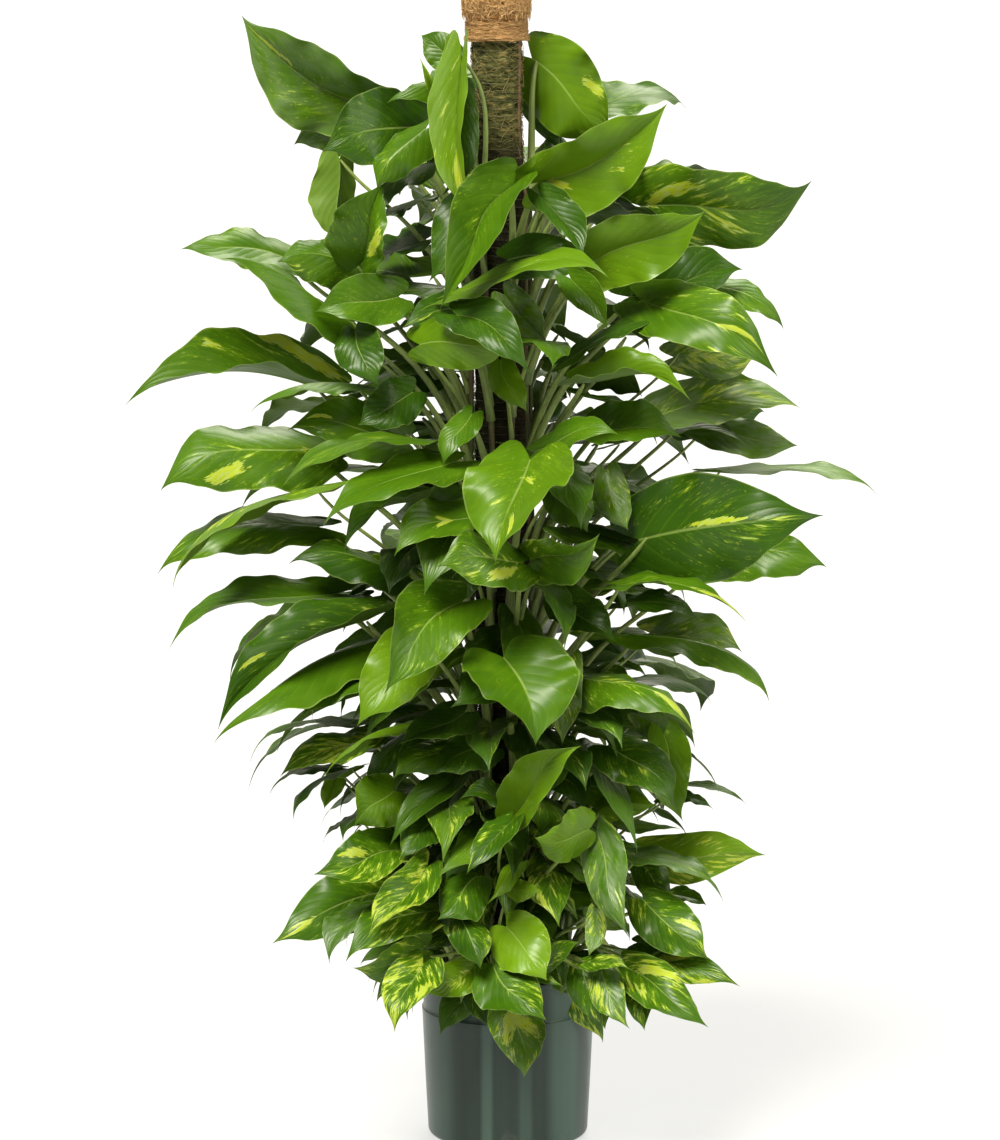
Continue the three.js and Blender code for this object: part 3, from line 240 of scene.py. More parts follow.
LOWER_LEAVES = [
    (-235, 515, 60, -330, 480, 80, 40, 15, 0, 0.1, DARK, 0.0),
    (-215, 515, 100, -298, 443, 120, 50, 10, -15, 0.12, SHADY, 0.09),
    (-238, 510, 80, -254, 457, 90, 35, 90, 20, 0, LIME, 0.17),
    (-158, 482, 150, -212, 432, 170, 80, 90, -5, 0.05, FRESH, 0.04),
    (-200, 440, 60, -257, 409, 70, 30, 20, 0, 0.12, GREY, 0.0),
    (-148, 398, 150, -268, 367, 180, 84, 59, 31, 0.05, SHADY, 0.34, (0.41, -0.4, 0.1, 0.3)),
    (-172, 340, 130, -326, 266, 150, 86, 95, 5, 0.05, SHADY, 0.21, (0.7, 0.15, 0.08, 0.5)),
    (-180, 318, 160, -250, 240, 180, 60, 20, 15, 0.1, GREY, 0.13),
    (-113, 374, 190, -193, 281, 210, 62, 80, 10, 0.05, SHADY, 0.51),
    (-98, 312, 150, -225, 243, 180, 80, 60, 0, 0.08, SHADY, 0.3),
    (-42, 362, 180, -98, 301, 205, 75, 80, -5, 0.05, SHADY, 0.21),
    (-118, 258, 190, -214, 232, 215, 60, 100, 10, 0.05, MID, 0.34),
    (-118, 238, 200, -157, 141, 225, 72, 90, 0, 0.05, SHADY, 0.53),
    (-48, 234, 170, -120, 195, 190, 52, 85, 5, 0, BRIGHT, 0.26),
    (-72, 312, 190, -38, 231, 215, 56, 80, -20, 0.05, DARK, 0.26),
    (-20, 236, 230, 54, 157, 255, 88, 88, 5, 0.03, SHADY, 0.17),
    (4, 184, 165, 22, 75, 175, 74, 90, 0, 0.03, SHEENED, 0.38, (0.2, 0, 0.16, 0.8)),
    (-2, 290, 200, 54, 214, 225, 80, 90, 0, 0.05, LIME, 0.1),
    (8, 243, 190, 78, 207, 215, 34, 50, 10, 0, SHADY, 0.38),
    (50, 234, 170, 99, 269, 185, 30, 90, 0, 0, SHADY, 0.38),
    (18, 382, 170, -28, 323, 195, 36, 80, -30, 0.1, BRIGHT, 0.04),
    (0, 348, 180, 48, 341, 200, 32, 90, 0, 0.05, LIME, 0.17),
    (122, 311, 180, 112, 249, 195, 30, 90, 10, 0, PALE, 0.42),
    (118, 318, 120, 165, 285, 130, 45, 90, 0, 0, PALE, 0.13),
    (122, 425, 180, 168, 278, 215, 62, 80, -15, 0.05, GREY, 0.26),
    (112, 428, 140, 38, 416, 165, 72, 105, 15, 0.05, BRIGHT, 0.1),
    (198, 395, 60, 356, 392, 80, 72, 85, 0, 0.03, LIME, 0.47),
    (180, 392, 110, 300, 329, 130, 62, 30, -10, 0.1, GREY, 0.21),
    (212, 335, 40, 276, 322, 50, 32, 20, 10, 0, SHADY, 0.09),
    (185, 378, 90, 232, 322, 100, 50, 90, 0, 0.05, DARK, 0.09),
    (188, 328, 130, 279, 244, 150, 76, 85, 0, 0.05, SHADY, 0.34, (0.35, 0.6, 0.08, 0.3)),
    (180, 268, 120, 252, 250, 140, 42, 60, 0, 0.08, SHADY, 0.17),
    (200, 250, 150, 322, 208, 170, 52, 60, 5, 0.05, SHADY, 0.47, (0.15, 0.3, 0.1, 0.4)),
    (166, 232, 180, 278, 149, 205, 72, 80, 0, 0.05, SHADY, 0.42, (0.12, 0.5, 0.1, 0.5)),
    (172, 222, 190, 190, 143, 200, 42, 90, 0, 0.03, SHADY, 0.38),
    (128, 234, 200, 169, 146, 215, 50, 90, 0, 0.03, GREY, 0.42),
    (104, 232, 170, 135, 145, 180, 58, 90, 0, 0.03, SHADY, 0.3),
    (110, 240, 210, 168, 230, 225, 26, 80, 0, 0, SHADY, 0.42),
    (225, 490, 20, 330, 466, 30, 30, 10, 0, 0.03, GREY, 0.0),
    (215, 472, 40, 284, 457, 50, 32, 30, 0, 0.08, DARK, 0.0),
    (128, 456, 110, 206, 461, 130, 42, 80, -10, 0.05, BRIGHT, 0.21),
    (150, 440, 60, 238, 430, 70, 26, 60, 0, 0, PALE, 0.17),
    (8, 448, 190, 98, 545, 215, 72, 65, 25, 0.03, BRIGHT, 0.09),
    (5, 440, 175, -58, 366, 200, 52, 60, 10, 0.05, DARK, 0.26),
    (5, 462, 160, -66, 471, 185, 48, 60, 20, 0.05, DARK, 0.17),
]

# Inner leaves, which close the view in to the pole; most are dark, partly their own deeper green and
# partly painted shade deep in the foliage.
INNER_LEAVES = [
    (0, 1215, 50, 122, 1212, 80, 66, 85, 0, 0.05, DARK, 0.0),
    (-55, 1295, 45, -108, 1185, 70, 66, 90, 0, 0.05, DARK, 0.0),
    (-10, 1078, 100, 26, 1008, 120, 44, 90, 0, 0.03, BRIGHT, 0.0),
    (-130, 1035, 60, -205, 990, 90, 66, 75, 0, 0.05, DARK, 0.0),
    (-150, 1000, 40, -212, 952, 70, 60, 80, 0, 0.05, MID, 0.05),
    (-50, 1005, 60, -88, 935, 90, 42, 90, 0, 0.05, MID, 0.0),
    (62, 905, 120, 108, 843, 150, 60, 90, 0, 0.05, MID, 0.0),
    (-50, 800, 100, -110, 745, 130, 70, 80, 0, 0.05, DARK, 0.05),
    (70, 750, 110, 148, 692, 140, 66, 70, 0, 0.05, DARK, 0.0),
    (-60, 592, 150, -152, 548, 175, 64, 70, 5, 0.08, DARK, 0.0),
    (-85, 542, 120, -158, 500, 150, 50, 60, 0, 0.05, MID, 0.3),
    (-25, 545, 120, -100, 505, 150, 60, 60, 0, 0.05, DARK, 0.05),
    (55, 520, 100, 105, 455, 130, 60, 80, 0, 0.05, DARK, 0.0),
    (-100, 440, 110, -150, 385, 140, 60, 80, 0, 0.05, DARK, 0.15),
    (-40, 420, 130, -85, 360, 160, 60, 80, 0, 0.05, DARK, 0.1),
]

# Bands of leaves round the back: how many, sector, and lowest and highest base height, base
# distance, tip distance, tip drop and width; then the share of yellow or cream in them.
BANDS = [
    (10, (12, 168), (250, 430), (120, 150), (220, 270), (70, 60), (60, 66), 0.45),
    (11, (8, 172), (450, 820), (160, 220), (300, 400), (80, 90), (78, 98), 0.25),
    (11, (8, 172), (850, 1180), (210, 200), (400, 380), (70, 60), (104, 108), 0.12),
    (7, (20, 160), (1220, 1440), (180, 130), (340, 290), (30, -30), (100, 96), 0.08),
]
GOLDEN_ANGLE = 0.381966
RULE_SEED = 20417

# The rest of the foliage, too many leaves for the solids: they stand all round between the larger
# ones and close the view in to the pole. Rows as above, but for the sector.
FILL = [
    (96, (232, 460), (70, 90), (165, 230), (60, 60), (44, 56), 0.36),
    (46, (400, 640), (85, 100), (225, 285), (70, 80), (54, 70), 0.2),
    (58, (450, 900), (75, 100), (200, 280), (90, 100), (62, 82), 0.15),
    (46, (900, 1390), (85, 95), (250, 215), (90, 40), (88, 80), 0.04),
]
FILL_TRIES = 16

# The steps and petiole routes that the solids were cleared with.
SHIFTS = [0, 12, -12, 24, -24, 38, -38, 54, -54, 72, -72, 92, -92]
TURN_PER_SHIFT = 0.25
ROUTES = [(1, 0), (0.6, 0), (1.5, 0), (1, 26), (1, -26), (2, 0), (1.5, 30), (1.5, -30)]


# ---- Settings ----

def length(name, description, default):
    return FloatProperty(
        name=name, description=description, default=default, min=0, unit="LENGTH", precision=4)


def color(name, description, default):
    return FloatVectorProperty(
        name=name, description=description, default=default, size=3, min=0, max=1, subtype="COLOR")


class LeafSettings(bpy.types.PropertyGroup):
    """Sizes and colours of stems, petioles and blades."""
    # The greens are mixed by each leaf's tone, partly the leaf's own green and partly painted light and
    # shade: bright for light shining through a leaf, deep for shade inside the foliage.
    deep: color("Deep green", "Blade colour of the darkest leaves", (0.011, 0.040, 0.002))
    middle: color("Middle green", "Blade colour of most leaves", (0.037, 0.096, 0.002))
    bright: color("Bright green", "Blade colour of the freshest leaves", (0.100, 0.195, 0.003))
    yellow: color("Yellow", "Variegation near the midrib", (0.350, 0.410, 0.016))
    cream: color("Cream", "Variegation where it is palest", (0.340, 0.420, 0.120))
    under: color("Underside", "Underside of a blade", (0.085, 0.150, 0.016))
    # Painted sheen: the grey green a blade is paled to, standing in for light reflected off its glossy
    # surface.
    painted_sheen: color("Sheen", "The grey green that a waxy leaf pales to", (0.140, 0.185, 0.105))
    stalk: color("Petiole", "Petioles and young stems", (0.300, 0.390, 0.100))
    bark: color("Old stem", "Old climbing stems", (0.075, 0.095, 0.024))
    thickness: length("Blade thickness", "Thickness of a blade at its middle", 0.0007)
    rib: length("Rib height", "How far the midrib stands out under a blade", 0.0012)


class PotSettings(bpy.types.PropertyGroup):
    """Colours of the pot and its mix."""
    plastic: color("Plastic", "Moulded pot", (0.026, 0.044, 0.035))
    mix: color("Potting mix", "Damp potting mix", (0.040, 0.022, 0.013))
    crumb: length("Crumb size", "Size of the coarse crumbs in the mix", 0.005)


class PoleSettings(bpy.types.PropertyGroup):
    """Sizes and colours of the moss, its thread and the coir."""
    moss: color("Moss", "Green of the bound moss", (0.090, 0.092, 0.026))
    straw: color("Straw", "Dry tan strands in the moss", (0.360, 0.280, 0.110))
    coir: color("Coir", "Coir fibre in the light", (0.800, 0.510, 0.230))
    coir_shade: color("Coir shade", "Coir fibre in the shade", (0.270, 0.125, 0.038))
    fibre: length("Fibre radius", "Half the width of a coir fibre", 0.00032)
    strand: length("Strand radius", "Half the width of a strand of moss", 0.00034)
    seed: IntProperty(name="Seed", description="Seed of the strands and fibres", default=7)


# ---- Node helpers ----

class Graph:
    """Writes a node tree: each add makes a node whose inputs are set to values or linked to sockets."""

    def __init__(self, tree):
        self.tree = tree

    def add(self, kind, inputs=None, **settings):
        node = self.tree.nodes.new(kind)
        for key, value in settings.items():
            setattr(node, key, value)
        for key, value in (inputs or {}).items():
            self.put(node, key, value)
        return node

    def put(self, node, key, value):
        if isinstance(key, int):
            socket = node.inputs[key]
        else:
            socket = next(s for s in node.inputs if s.enabled and s.name == key)
        if isinstance(value, bpy.types.NodeSocket):
            self.tree.links.new(value, socket)
        elif isinstance(value, bpy.types.Node):
            self.tree.links.new(next(s for s in value.outputs if s.enabled), socket)
        else:
            socket.default_value = value

    def math(self, operation, *values):
        return self.add("ShaderNodeMath", dict(enumerate(values)), operation=operation).outputs[0]

    def times(self, a, b):
        return self.math("MULTIPLY", a, b)

    def times_plus(self, a, b, c):
        """a times b, plus c."""
        return self.math("MULTIPLY_ADD", a, b, c)

    def above(self, value, low, high, smooth=True):
        """0 below low, 1 above high."""
        kind = "SMOOTHSTEP" if smooth else "LINEAR"
        return self.add("ShaderNodeMapRange", {"Value": value, "From Min": low, "From Max": high},
                        interpolation_type=kind).outputs[0]

    def below(self, value, low, high):
        """1 below low, 0 above high."""
        return self.math("SUBTRACT", 1.0, self.above(value, low, high))

    def mix(self, factor, a, b):
        """The colour a where the factor is 0, b where it is 1."""
        node = self.add("ShaderNodeMix", {0: factor}, data_type="RGBA")
        for index, value in ((6, a), (7, b)):
            self.put(node, index, value if isinstance(value, bpy.types.NodeSocket) else (*value, 1))
        return node.outputs[2]

    def over(self, ground, paint, mask, strength):
        """The ground with a paint laid over it where the mask is 1."""
        return self.mix(self.times(mask, strength), ground, paint)

    def noise(self, vector, scale, detail, roughness, w=None):
        """Noise from 0 to 1; each w has its own."""
        inputs = {"Vector": vector, "Scale": scale, "Detail": detail, "Roughness": roughness}
        if w is not None:
            inputs["W"] = w
        kind = "3D" if w is None else "4D"
        return self.add("ShaderNodeTexNoise", inputs, noise_dimensions=kind).outputs[0]

    def grain(self, vector, stretch, detail, roughness):
        """Noise that is finer along the axes where the stretch is larger."""
        at = self.add("ShaderNodeMapping", {"Vector": vector, "Scale": stretch}).outputs[0]
        return self.noise(at, 1.0, detail, roughness)

    def place(self):
        """The point on the object, in metres."""
        return self.add("ShaderNodeTexCoord").outputs["Object"]

    def uv(self):
        """The two UV coordinates."""
        return self.parts(self.add("ShaderNodeUVMap", uv_map="UVMap").outputs[0])[:2]

    def attribute(self, name, output="Fac"):
        return self.add("ShaderNodeAttribute", attribute_name=name).outputs[output]

    def vector(self, x, y, z):
        return self.add("ShaderNodeCombineXYZ", {0: x, 1: y, 2: z}).outputs[0]

    def parts(self, vector):
        """The x, y and z of a vector."""
        return tuple(self.add("ShaderNodeSeparateXYZ", {0: vector}).outputs)

    def bump(self, height, distance, strength):
        inputs = {"Height": height, "Distance": distance, "Strength": strength}
        return self.add("ShaderNodeBump", inputs).outputs[0]


def material(name, roughness, specular):
    """A material, its graph and its Principled shader, which holds the constant numbers."""
    made = bpy.data.materials.new(name)
    made.use_nodes = True
    shader = made.node_tree.nodes["Principled BSDF"]
    shader.inputs["Roughness"].default_value = roughness
    shader.inputs["Specular IOR Level"].default_value = specular
    return made, Graph(made.node_tree), shader


def scaled(color, share):
    return tuple(c * share for c in color)


# ---- Leaf materials ----

VEINS = 9
VEIN_SLANT = 0.42
VEIN_CURVE = 0.85
VEIN_WIDTH = 0.14
FLECK_STRENGTH = 0.45
GOLD_STRENGTH = 0.85
# What streaks, patches and fine noise add up to has to pass a level for the blade to be yellow or
# cream. The level falls with the leaf's share of them.
VARIEGATION = {"streak": 0.58, "patch": 0.4, "fine": 0.2, "level": 0.72, "fall": -0.22}
PATCH_RAGGED = 3.4
OLD_BROWN = (0.085, 0.055, 0.025)
OLD_STREAK = (0.25, 0.24, 0.1)


def leaf_coordinates(graph):
    """Across the blade from -1 to 1, how far from the midrib, where along it, and where on the
    midrib the point's side vein starts."""
    across, along = graph.uv()
    signed = graph.times_plus(across, 2.0, -1.0)
    side = graph.math("ABSOLUTE", signed)
    slant = graph.times(graph.math("POWER", side, VEIN_CURVE), VEIN_SLANT)
    return signed, side, along, graph.math("SUBTRACT", along, slant)


def leaf_noise(graph, along, signed, seed, stretch, scale, detail, roughness):
    """Noise over a blade: the stretch is along it, across it, and an offset that sets it apart."""
    at = graph.vector(graph.times(along, stretch[0]), graph.times(signed, stretch[1]), stretch[2])
    return graph.noise(at, scale, detail, roughness, seed)


def bold_patch(graph, signed, vein, ragged):
    """1 inside the leaf's own patch, which lies along a side vein and has a ragged edge."""
    middle, side, half = graph.parts(graph.attribute("patch", "Vector"))
    reach = graph.attribute("patch_reach")
    across = graph.math("DIVIDE", graph.math("SUBTRACT", vein, middle), half)
    along = graph.math("DIVIDE", graph.math("SUBTRACT", signed, side), reach)
    away = graph.math("SQRT", graph.math("ADD", graph.times(across, across), graph.times(along, along)))
    away = graph.times_plus(graph.math("SUBTRACT", 0.5, ragged), PATCH_RAGGED, away)
    return graph.below(away, 0.8, 1.0)


def variegation(graph, signed, along, vein, cream, seed):
    """Where the blade is yellow or cream, in streaks along its veins; where a paler green is round
    them; and the fine noise."""
    streak = leaf_noise(graph, vein, signed, seed, (10.0, 1.5, 0.0), 1.6, 4, 0.6)
    patch = leaf_noise(graph, along, signed, seed, (1.6, 1.0, 5.0), 1.3, 2, 0.5)
    fine = leaf_noise(graph, vein, signed, seed, (34.0, 6.0, 0.0), 1.5, 3, 0.6)
    flecks = leaf_noise(graph, vein, signed, seed, (60.0, 12.0, 3.0), 1.2, 2, 0.5)
    total = graph.times(streak, VARIEGATION["streak"])
    total = graph.times_plus(patch, VARIEGATION["patch"], total)
    total = graph.times_plus(fine, VARIEGATION["fine"], total)
    level = graph.times_plus(cream, VARIEGATION["fall"], VARIEGATION["level"])
    past = graph.math("SUBTRACT", total, level)
    has_any = graph.above(cream, 0.0, 0.04)
    spots = graph.times(graph.above(past, 0.0, 0.05), has_any)
    round_them = graph.times(graph.above(past, -0.07, 0.02), has_any)
    flecks = graph.times(graph.above(flecks, 0.61, 0.7), graph.above(patch, 0.42, 0.6))
    spots = graph.math("MAXIMUM", spots, graph.times(flecks, FLECK_STRENGTH))
    ragged = graph.times_plus(fine, 0.45, graph.times(streak, 0.55))
    spots = graph.math("MAXIMUM", spots, bold_patch(graph, signed, vein, ragged))
    return spots, round_them, fine


def blade_material(settings, upper=True):
    if upper:
        made, graph, shader = material("leaf_upper", 0.34, 0.22)
    else:
        made, graph, shader = material("leaf_underside", 0.5, 0.16)
    tone, cream, painted_sheen = graph.parts(graph.attribute("look", "Vector"))
    seed = graph.attribute("seed")
    signed, side, along, vein = leaf_coordinates(graph)

    cloud = leaf_noise(graph, along, signed, seed, (2.2, 1.0, 0.0), 1.3, 3, 0.55)
    level = graph.times_plus(graph.math("SUBTRACT", cloud, 0.5), 0.55, tone)
    green = graph.mix(graph.above(level, 0.0, 0.5, False), settings.deep, settings.middle)
    green = graph.mix(graph.above(level, 0.5, 1.0, False), green, settings.bright)

    spots, round_them, fine = variegation(graph, signed, along, vein, cream, seed)
    green = graph.over(green, settings.bright, round_them, 0.6)
    gold = graph.mix(graph.above(fine, 0.45, 0.65), settings.yellow, settings.cream)
    blade = graph.over(green, gold, spots, GOLD_STRENGTH)

    # 0 on each side vein, 0.5 midway between two.
    from_vein = graph.math("PINGPONG", graph.times(vein, float(VEINS)), 0.5)
    lines = graph.times(graph.below(from_vein, 0.0, VEIN_WIDTH), graph.below(side, 0.55, 0.95))
    blade = graph.over(blade, settings.bright, lines, 0.16)
    midrib = graph.times(graph.below(side, 0.01, 0.04), graph.below(along, 0.35, 0.9))
    blade = graph.over(blade, settings.stalk, midrib, 0.38)
    if not upper:
        blade = graph.mix(0.62, blade, settings.under)
    # A paler margin: partly the blade's own rim, partly a painted highlight where its edge catches the light.
    blade = graph.over(blade, settings.stalk, graph.above(side, 0.955, 1.0), 0.35)
    # Painted reflection: where this noise is high the blade is paled to the sheen colour, by the leaf's share
    # of painted sheen.
    glossy = leaf_noise(graph, along, signed, seed, (2.2, 1.0, 0.0), 3.0, 2, 0.5)
    blade = graph.over(blade, settings.painted_sheen, graph.above(glossy, 0.35, 0.65), painted_sheen)
    graph.put(shader, "Base Color", blade)

    puffs = graph.math("SINE", graph.times(from_vein, math.pi))
    relief = graph.times_plus(fine, 0.2, graph.times(puffs, 0.6 if upper else -0.5))
    relief = graph.times_plus(midrib, -0.8 if upper else 0.5, relief)
    graph.put(shader, "Normal", graph.bump(relief, 0.0006, 0.6))
    graph.put(shader, "Roughness", graph.times_plus(cloud, 0.2, 0.24 if upper else 0.42))
    return made


def stalk_material(settings):
    made, graph, shader = material("petiole", 0.4, 0.5)
    place = graph.place()
    grain = graph.grain(place, (220.0, 220.0, 30.0), 3, 0.6)
    age = graph.noise(place, 9.0, 2, 0.5, graph.attribute("seed"))
    tint = graph.mix(graph.above(age, 0.35, 0.65), scaled(settings.stalk, 0.5), settings.stalk)
    tint = graph.over(tint, settings.under, graph.above(grain, 0.4, 0.7), 0.4)
    tint = graph.over(tint, settings.bark, graph.below(graph.uv()[1], 0.0, 0.1), 0.55)
    graph.put(shader, "Base Color", tint)
    graph.put(shader, "Normal", graph.bump(grain, 0.0004, 0.5))
    return made


def stem_material(settings):
    made, graph, shader = material("old_stem", 0.6, 0.4)
    place = graph.place()
    streak = graph.grain(place, (160.0, 160.0, 18.0), 4, 0.65)
    patch = graph.noise(place, 14.0, 3, 0.6)
    tint = graph.mix(graph.above(patch, 0.42, 0.6), settings.bark, OLD_BROWN)
    tint = graph.over(tint, OLD_STREAK, graph.above(streak, 0.5, 0.75), 0.5)
    graph.put(shader, "Base Color", tint)
    graph.put(shader, "Normal", graph.bump(streak, 0.0008, 0.7))
    return made


# ---- Stems, petioles and blades, as in the solids ----

def pole_x(z):
    return -math.tan(LEAN) * z


def from_pole(z, reach, turn, drop=0):
    """The point at a reach and a direction from the pole's axis at height z, and a drop below."""
    return Vector((pole_x(z) + reach * math.cos(turn), reach * math.sin(turn), z - drop))


class Stem:
    """A stem's line: a vine that weaves up the pole, or a young stem that leans out from it."""

    def __init__(self, index, row, young):
        self.young = young
        self.index = index
        self.direction, self.top, self.radius = row[0], row[-2], row[-1]
        self.reach = row[1:3] if young else None
        self.node = f"{'young_stem' if young else 'climbing_vine'}_{index + 1}"
        self.piece = f"{'shoot' if young else 'vine'}_{index + 1}"

    def middle(self, z):
        if not self.young:
            swing = WEAVE["swing"] * math.sin(z / WEAVE["pitch"] + WEAVE["apart"] * self.index)
            turn, reach = math.radians(self.direction + swing), CLIMB_RADIUS
        else:
            share_up = (z - STEM_FOOT) / (self.top - STEM_FOOT)
            turn = math.radians(self.direction)
            reach = self.reach[0] + (self.reach[1] - self.reach[0]) * share_up * share_up
        return from_pole(z, reach, turn)


STEMS = [Stem(i, row, False) for i, row in enumerate(VINES)]
STEMS += [Stem(i, row, True) for i, row in enumerate(YOUNG_STEMS)]


class Leaf:
    """A blade's base, axes and form."""

    def __init__(self, base, tip, normal, width, fold, arch, phase):
        self.base = base
        self.along = (tip - base).normalized()
        self.length = (tip - base).length
        self.normal = (normal - self.along * normal.dot(self.along)).normalized()
        self.across = self.normal.cross(self.along)
        self.width, self.fold, self.arch, self.phase = width, fold, arch, phase
        self.size = min(max(width / LEAF_SIZE["full"], LEAF_SIZE["least"]), LEAF_SIZE["most"])


def sighted(x, z, near):
    """The point at a depth in front of the pole that the eye sees at (x, z) in the pole's plane."""
    return EYE.lerp(Vector((x, 0, z)), (-EYE.y - near) / -EYE.y)


def listed_leaf(row, index):
    """A row's leaf as its place for a shift, which is how much nearer to the eye it stands."""
    bx, bz, b_near, tx, tz, t_near, width, face, fold, arch = row[:10]

    def at(shift):
        reach = LEAN_OUT * math.hypot(tx - bx, tz - bz) * min(max(b_near / FRONT, -1), 1)
        base = sighted(bx, bz, b_near + shift)
        tip = sighted(tx, tz, t_near + reach + shift)
        along = (tip - base).normalized()
        to_eye = EYE - base
        to_eye = (to_eye - along * to_eye.dot(along)).normalized()
        upward = along.cross(to_eye) * (1 if tx < bx else -1)
        turn = math.radians(face)
        normal = upward * math.cos(turn) + to_eye * math.sin(turn)
        return Leaf(base, tip, normal, width, math.radians(fold), arch, PHASE_STEP * index)
    return at


def random_from(seed):
    state = seed
    while True:
        state = (state * 1664525 + 1013904223) % 4294967296
        yield state / 4294967296


def within(draws, low, span):
    return low + span * next(draws)


def either_way(draws, span):
    return span * (next(draws) - 0.5)


def drawn_look(draws, stray, cream):
    """A look by the next draws: its green, its share of yellow or cream, and its share of painted sheen."""
    green = within(draws, *stray["green"])
    share = cream * within(draws, *stray["cream"])
    return green, share, stray["painted_sheen"] * next(draws)


# How far the random draws carry a leaf: a range to both sides of its row's value, or the least
# value and the range of what its row's value is multiplied by. Folds and arches come from the
# draws alone.
BAND_STRAY = {
    "place": 0.06, "height": 24, "base": (0.85, 0.3), "tip": (0.9, 0.2), "drop": (0.4, 1.2), "yaw": 24,
    "roll": 0.7, "width": (0.85, 0.3), "fold": (-8, 30), "arch": (0.03, 0.09),
    "green": (0.25, 0.6), "cream": (0.3, 1.2), "painted_sheen": 0.15,
}
# Fill leaves take low greens: partly their own deeper green, partly painted shade deep in the foliage.
FILL_STRAY = {
    "turn": 0.4, "yaw": 50, "height": 40, "base": (0.9, 0.5), "tip": (0.8, 0.35), "drop": (0.2, 1.5),
    "roll": 1.1, "tilt": (0.2, 0.9), "width": (0.8, 0.4), "fold": (-8, 30), "arch": (0.03, 0.08),
    "green": (0.1, 0.55), "cream": (0.2, 1.3), "painted_sheen": 0.1,
}
BAND_TILT = 0.35


def band_leaves(band, draws, first):
    """A band's leaves, each as its place for a shift, which turns it round the pole."""
    count, sector, *ranges, _ = band
    stray = BAND_STRAY
    made = []
    for i in range(count):
        step = (i + 0.5) / count
        level, base_reach, tip_reach, drop, width = (low + (high - low) * step for low, high in ranges)
        spot = (GOLDEN_ANGLE * (i + first) + stray["place"] * next(draws)) % 1
        direction = sector[0] + (sector[1] - sector[0]) * spot
        z = level + either_way(draws, stray["height"])
        base_reach *= within(draws, *stray["base"])
        tip_reach *= within(draws, *stray["tip"])
        drop *= within(draws, *stray["drop"])
        yaw = either_way(draws, stray["yaw"])
        roll = either_way(draws, stray["roll"])
        width *= within(draws, *stray["width"])
        fold = math.radians(within(draws, *stray["fold"]))
        arch = within(draws, *stray["arch"])

        def at(shift, z=z, direction=direction, base_reach=base_reach, tip_reach=tip_reach, drop=drop,
               yaw=yaw, roll=roll, width=width, fold=fold, arch=arch, phase=PHASE_STEP * (i + first)):
            turn = math.radians(direction + TURN_PER_SHIFT * shift)
            base = from_pole(z, base_reach, turn)
            tip = from_pole(z, tip_reach, turn + math.radians(yaw), drop)
            normal = Vector((-math.sin(turn) * roll, math.cos(turn) * roll, 1))
            normal += Vector((math.cos(turn), math.sin(turn), 0)) * BAND_TILT
            return Leaf(base, tip, normal, width, fold, arch, phase)
        made.append(at)
    return made


def all_leaves():
    """Every leaf of the solids as (its place for a shift, its look)."""
    rows = [*TOP_LEAVES, *MIDDLE_LEAVES, *LOWER_LEAVES, *INNER_LEAVES]
    made = []
    for i, row in enumerate(rows):
        (green, painted_sheen), cream, *patch = row[10:]
        made.append((listed_leaf(row, i), (green, cream, painted_sheen, *patch)))
    draws = random_from(RULE_SEED)
    looks = random_from(RULE_SEED + 1)
    first = 0
    for band in BANDS:
        for at in band_leaves(band, draws, first):
            made.append((at, drawn_look(looks, BAND_STRAY, band[-1])))
        first += band[0]
    return made


# The points of a blade that stand for it where blades must not cross.
CLEAR_ROWS, CLEAR_COLUMNS = 8, 5
CLEAR_END = 0.97
POLE_CLEARANCE = 8


class Clearance:
    """Tells whether a new blade would cross one already there, or the pole."""

    def __init__(self, leaves):
        rows, wide = CLEAR_ROWS, CLEAR_COLUMNS
        self.faces = [(r * wide + c, r * wide + c + 1, (r + 1) * wide + c + 1, (r + 1) * wide + c)
                      for r in range(rows - 1) for c in range(wide - 1)]
        u, v = np.meshgrid(np.linspace(0, CLEAR_END, rows), np.linspace(-1, 1, wide), indexing="ij")
        self.u, self.v = u.ravel(), v.ravel()
        self.placed = [self.shape(leaf) for leaf in leaves]

    def shape(self, leaf):
        points = blade_points(leaf, self.u, self.v)
        middle = points.mean(axis=0)
        reach = np.linalg.norm(points - middle, axis=1).max()
        return points, middle, reach, BVHTree.FromPolygons(points.tolist(), self.faces)

    def admits(self, leaf):
        made = self.shape(leaf)
        points, middle, reach, tree = made
        off_axis = np.hypot(points[:, 0] - pole_x(points[:, 2]), points[:, 1])
        if off_axis.min() < CLIMB_RADIUS + POLE_CLEARANCE:
            return False
        for _, other_middle, other_reach, other in self.placed:
            if np.linalg.norm(middle - other_middle) < reach + other_reach and tree.overlap(other):
                return False
        self.placed.append(made)
        return True


def fill_leaf(spot, row, draws, phase):
    """A leaf of the fill at a direction round the pole, by the next draws."""
    level, base_reach, tip_reach, drop, width = row
    stray = FILL_STRAY
    turn = spot + either_way(draws, stray["turn"])
    tip_turn = turn + either_way(draws, math.radians(stray["yaw"]))
    z = level + either_way(draws, stray["height"])
    base = from_pole(z, base_reach * within(draws, *stray["base"]), turn)
    tip_reach *= within(draws, *stray["tip"])
    tip = from_pole(z, tip_reach, tip_turn, drop * within(draws, *stray["drop"]))
    roll = either_way(draws, stray["roll"])
    outward = Vector((math.cos(turn), math.sin(turn), 0))
    normal = Vector((-outward.y * roll, outward.x * roll, 1)) + outward * within(draws, *stray["tilt"])
    width *= within(draws, *stray["width"])
    fold = math.radians(within(draws, *stray["fold"]))
    return Leaf(base, tip, normal, width, fold, within(draws, *stray["arch"]), phase)


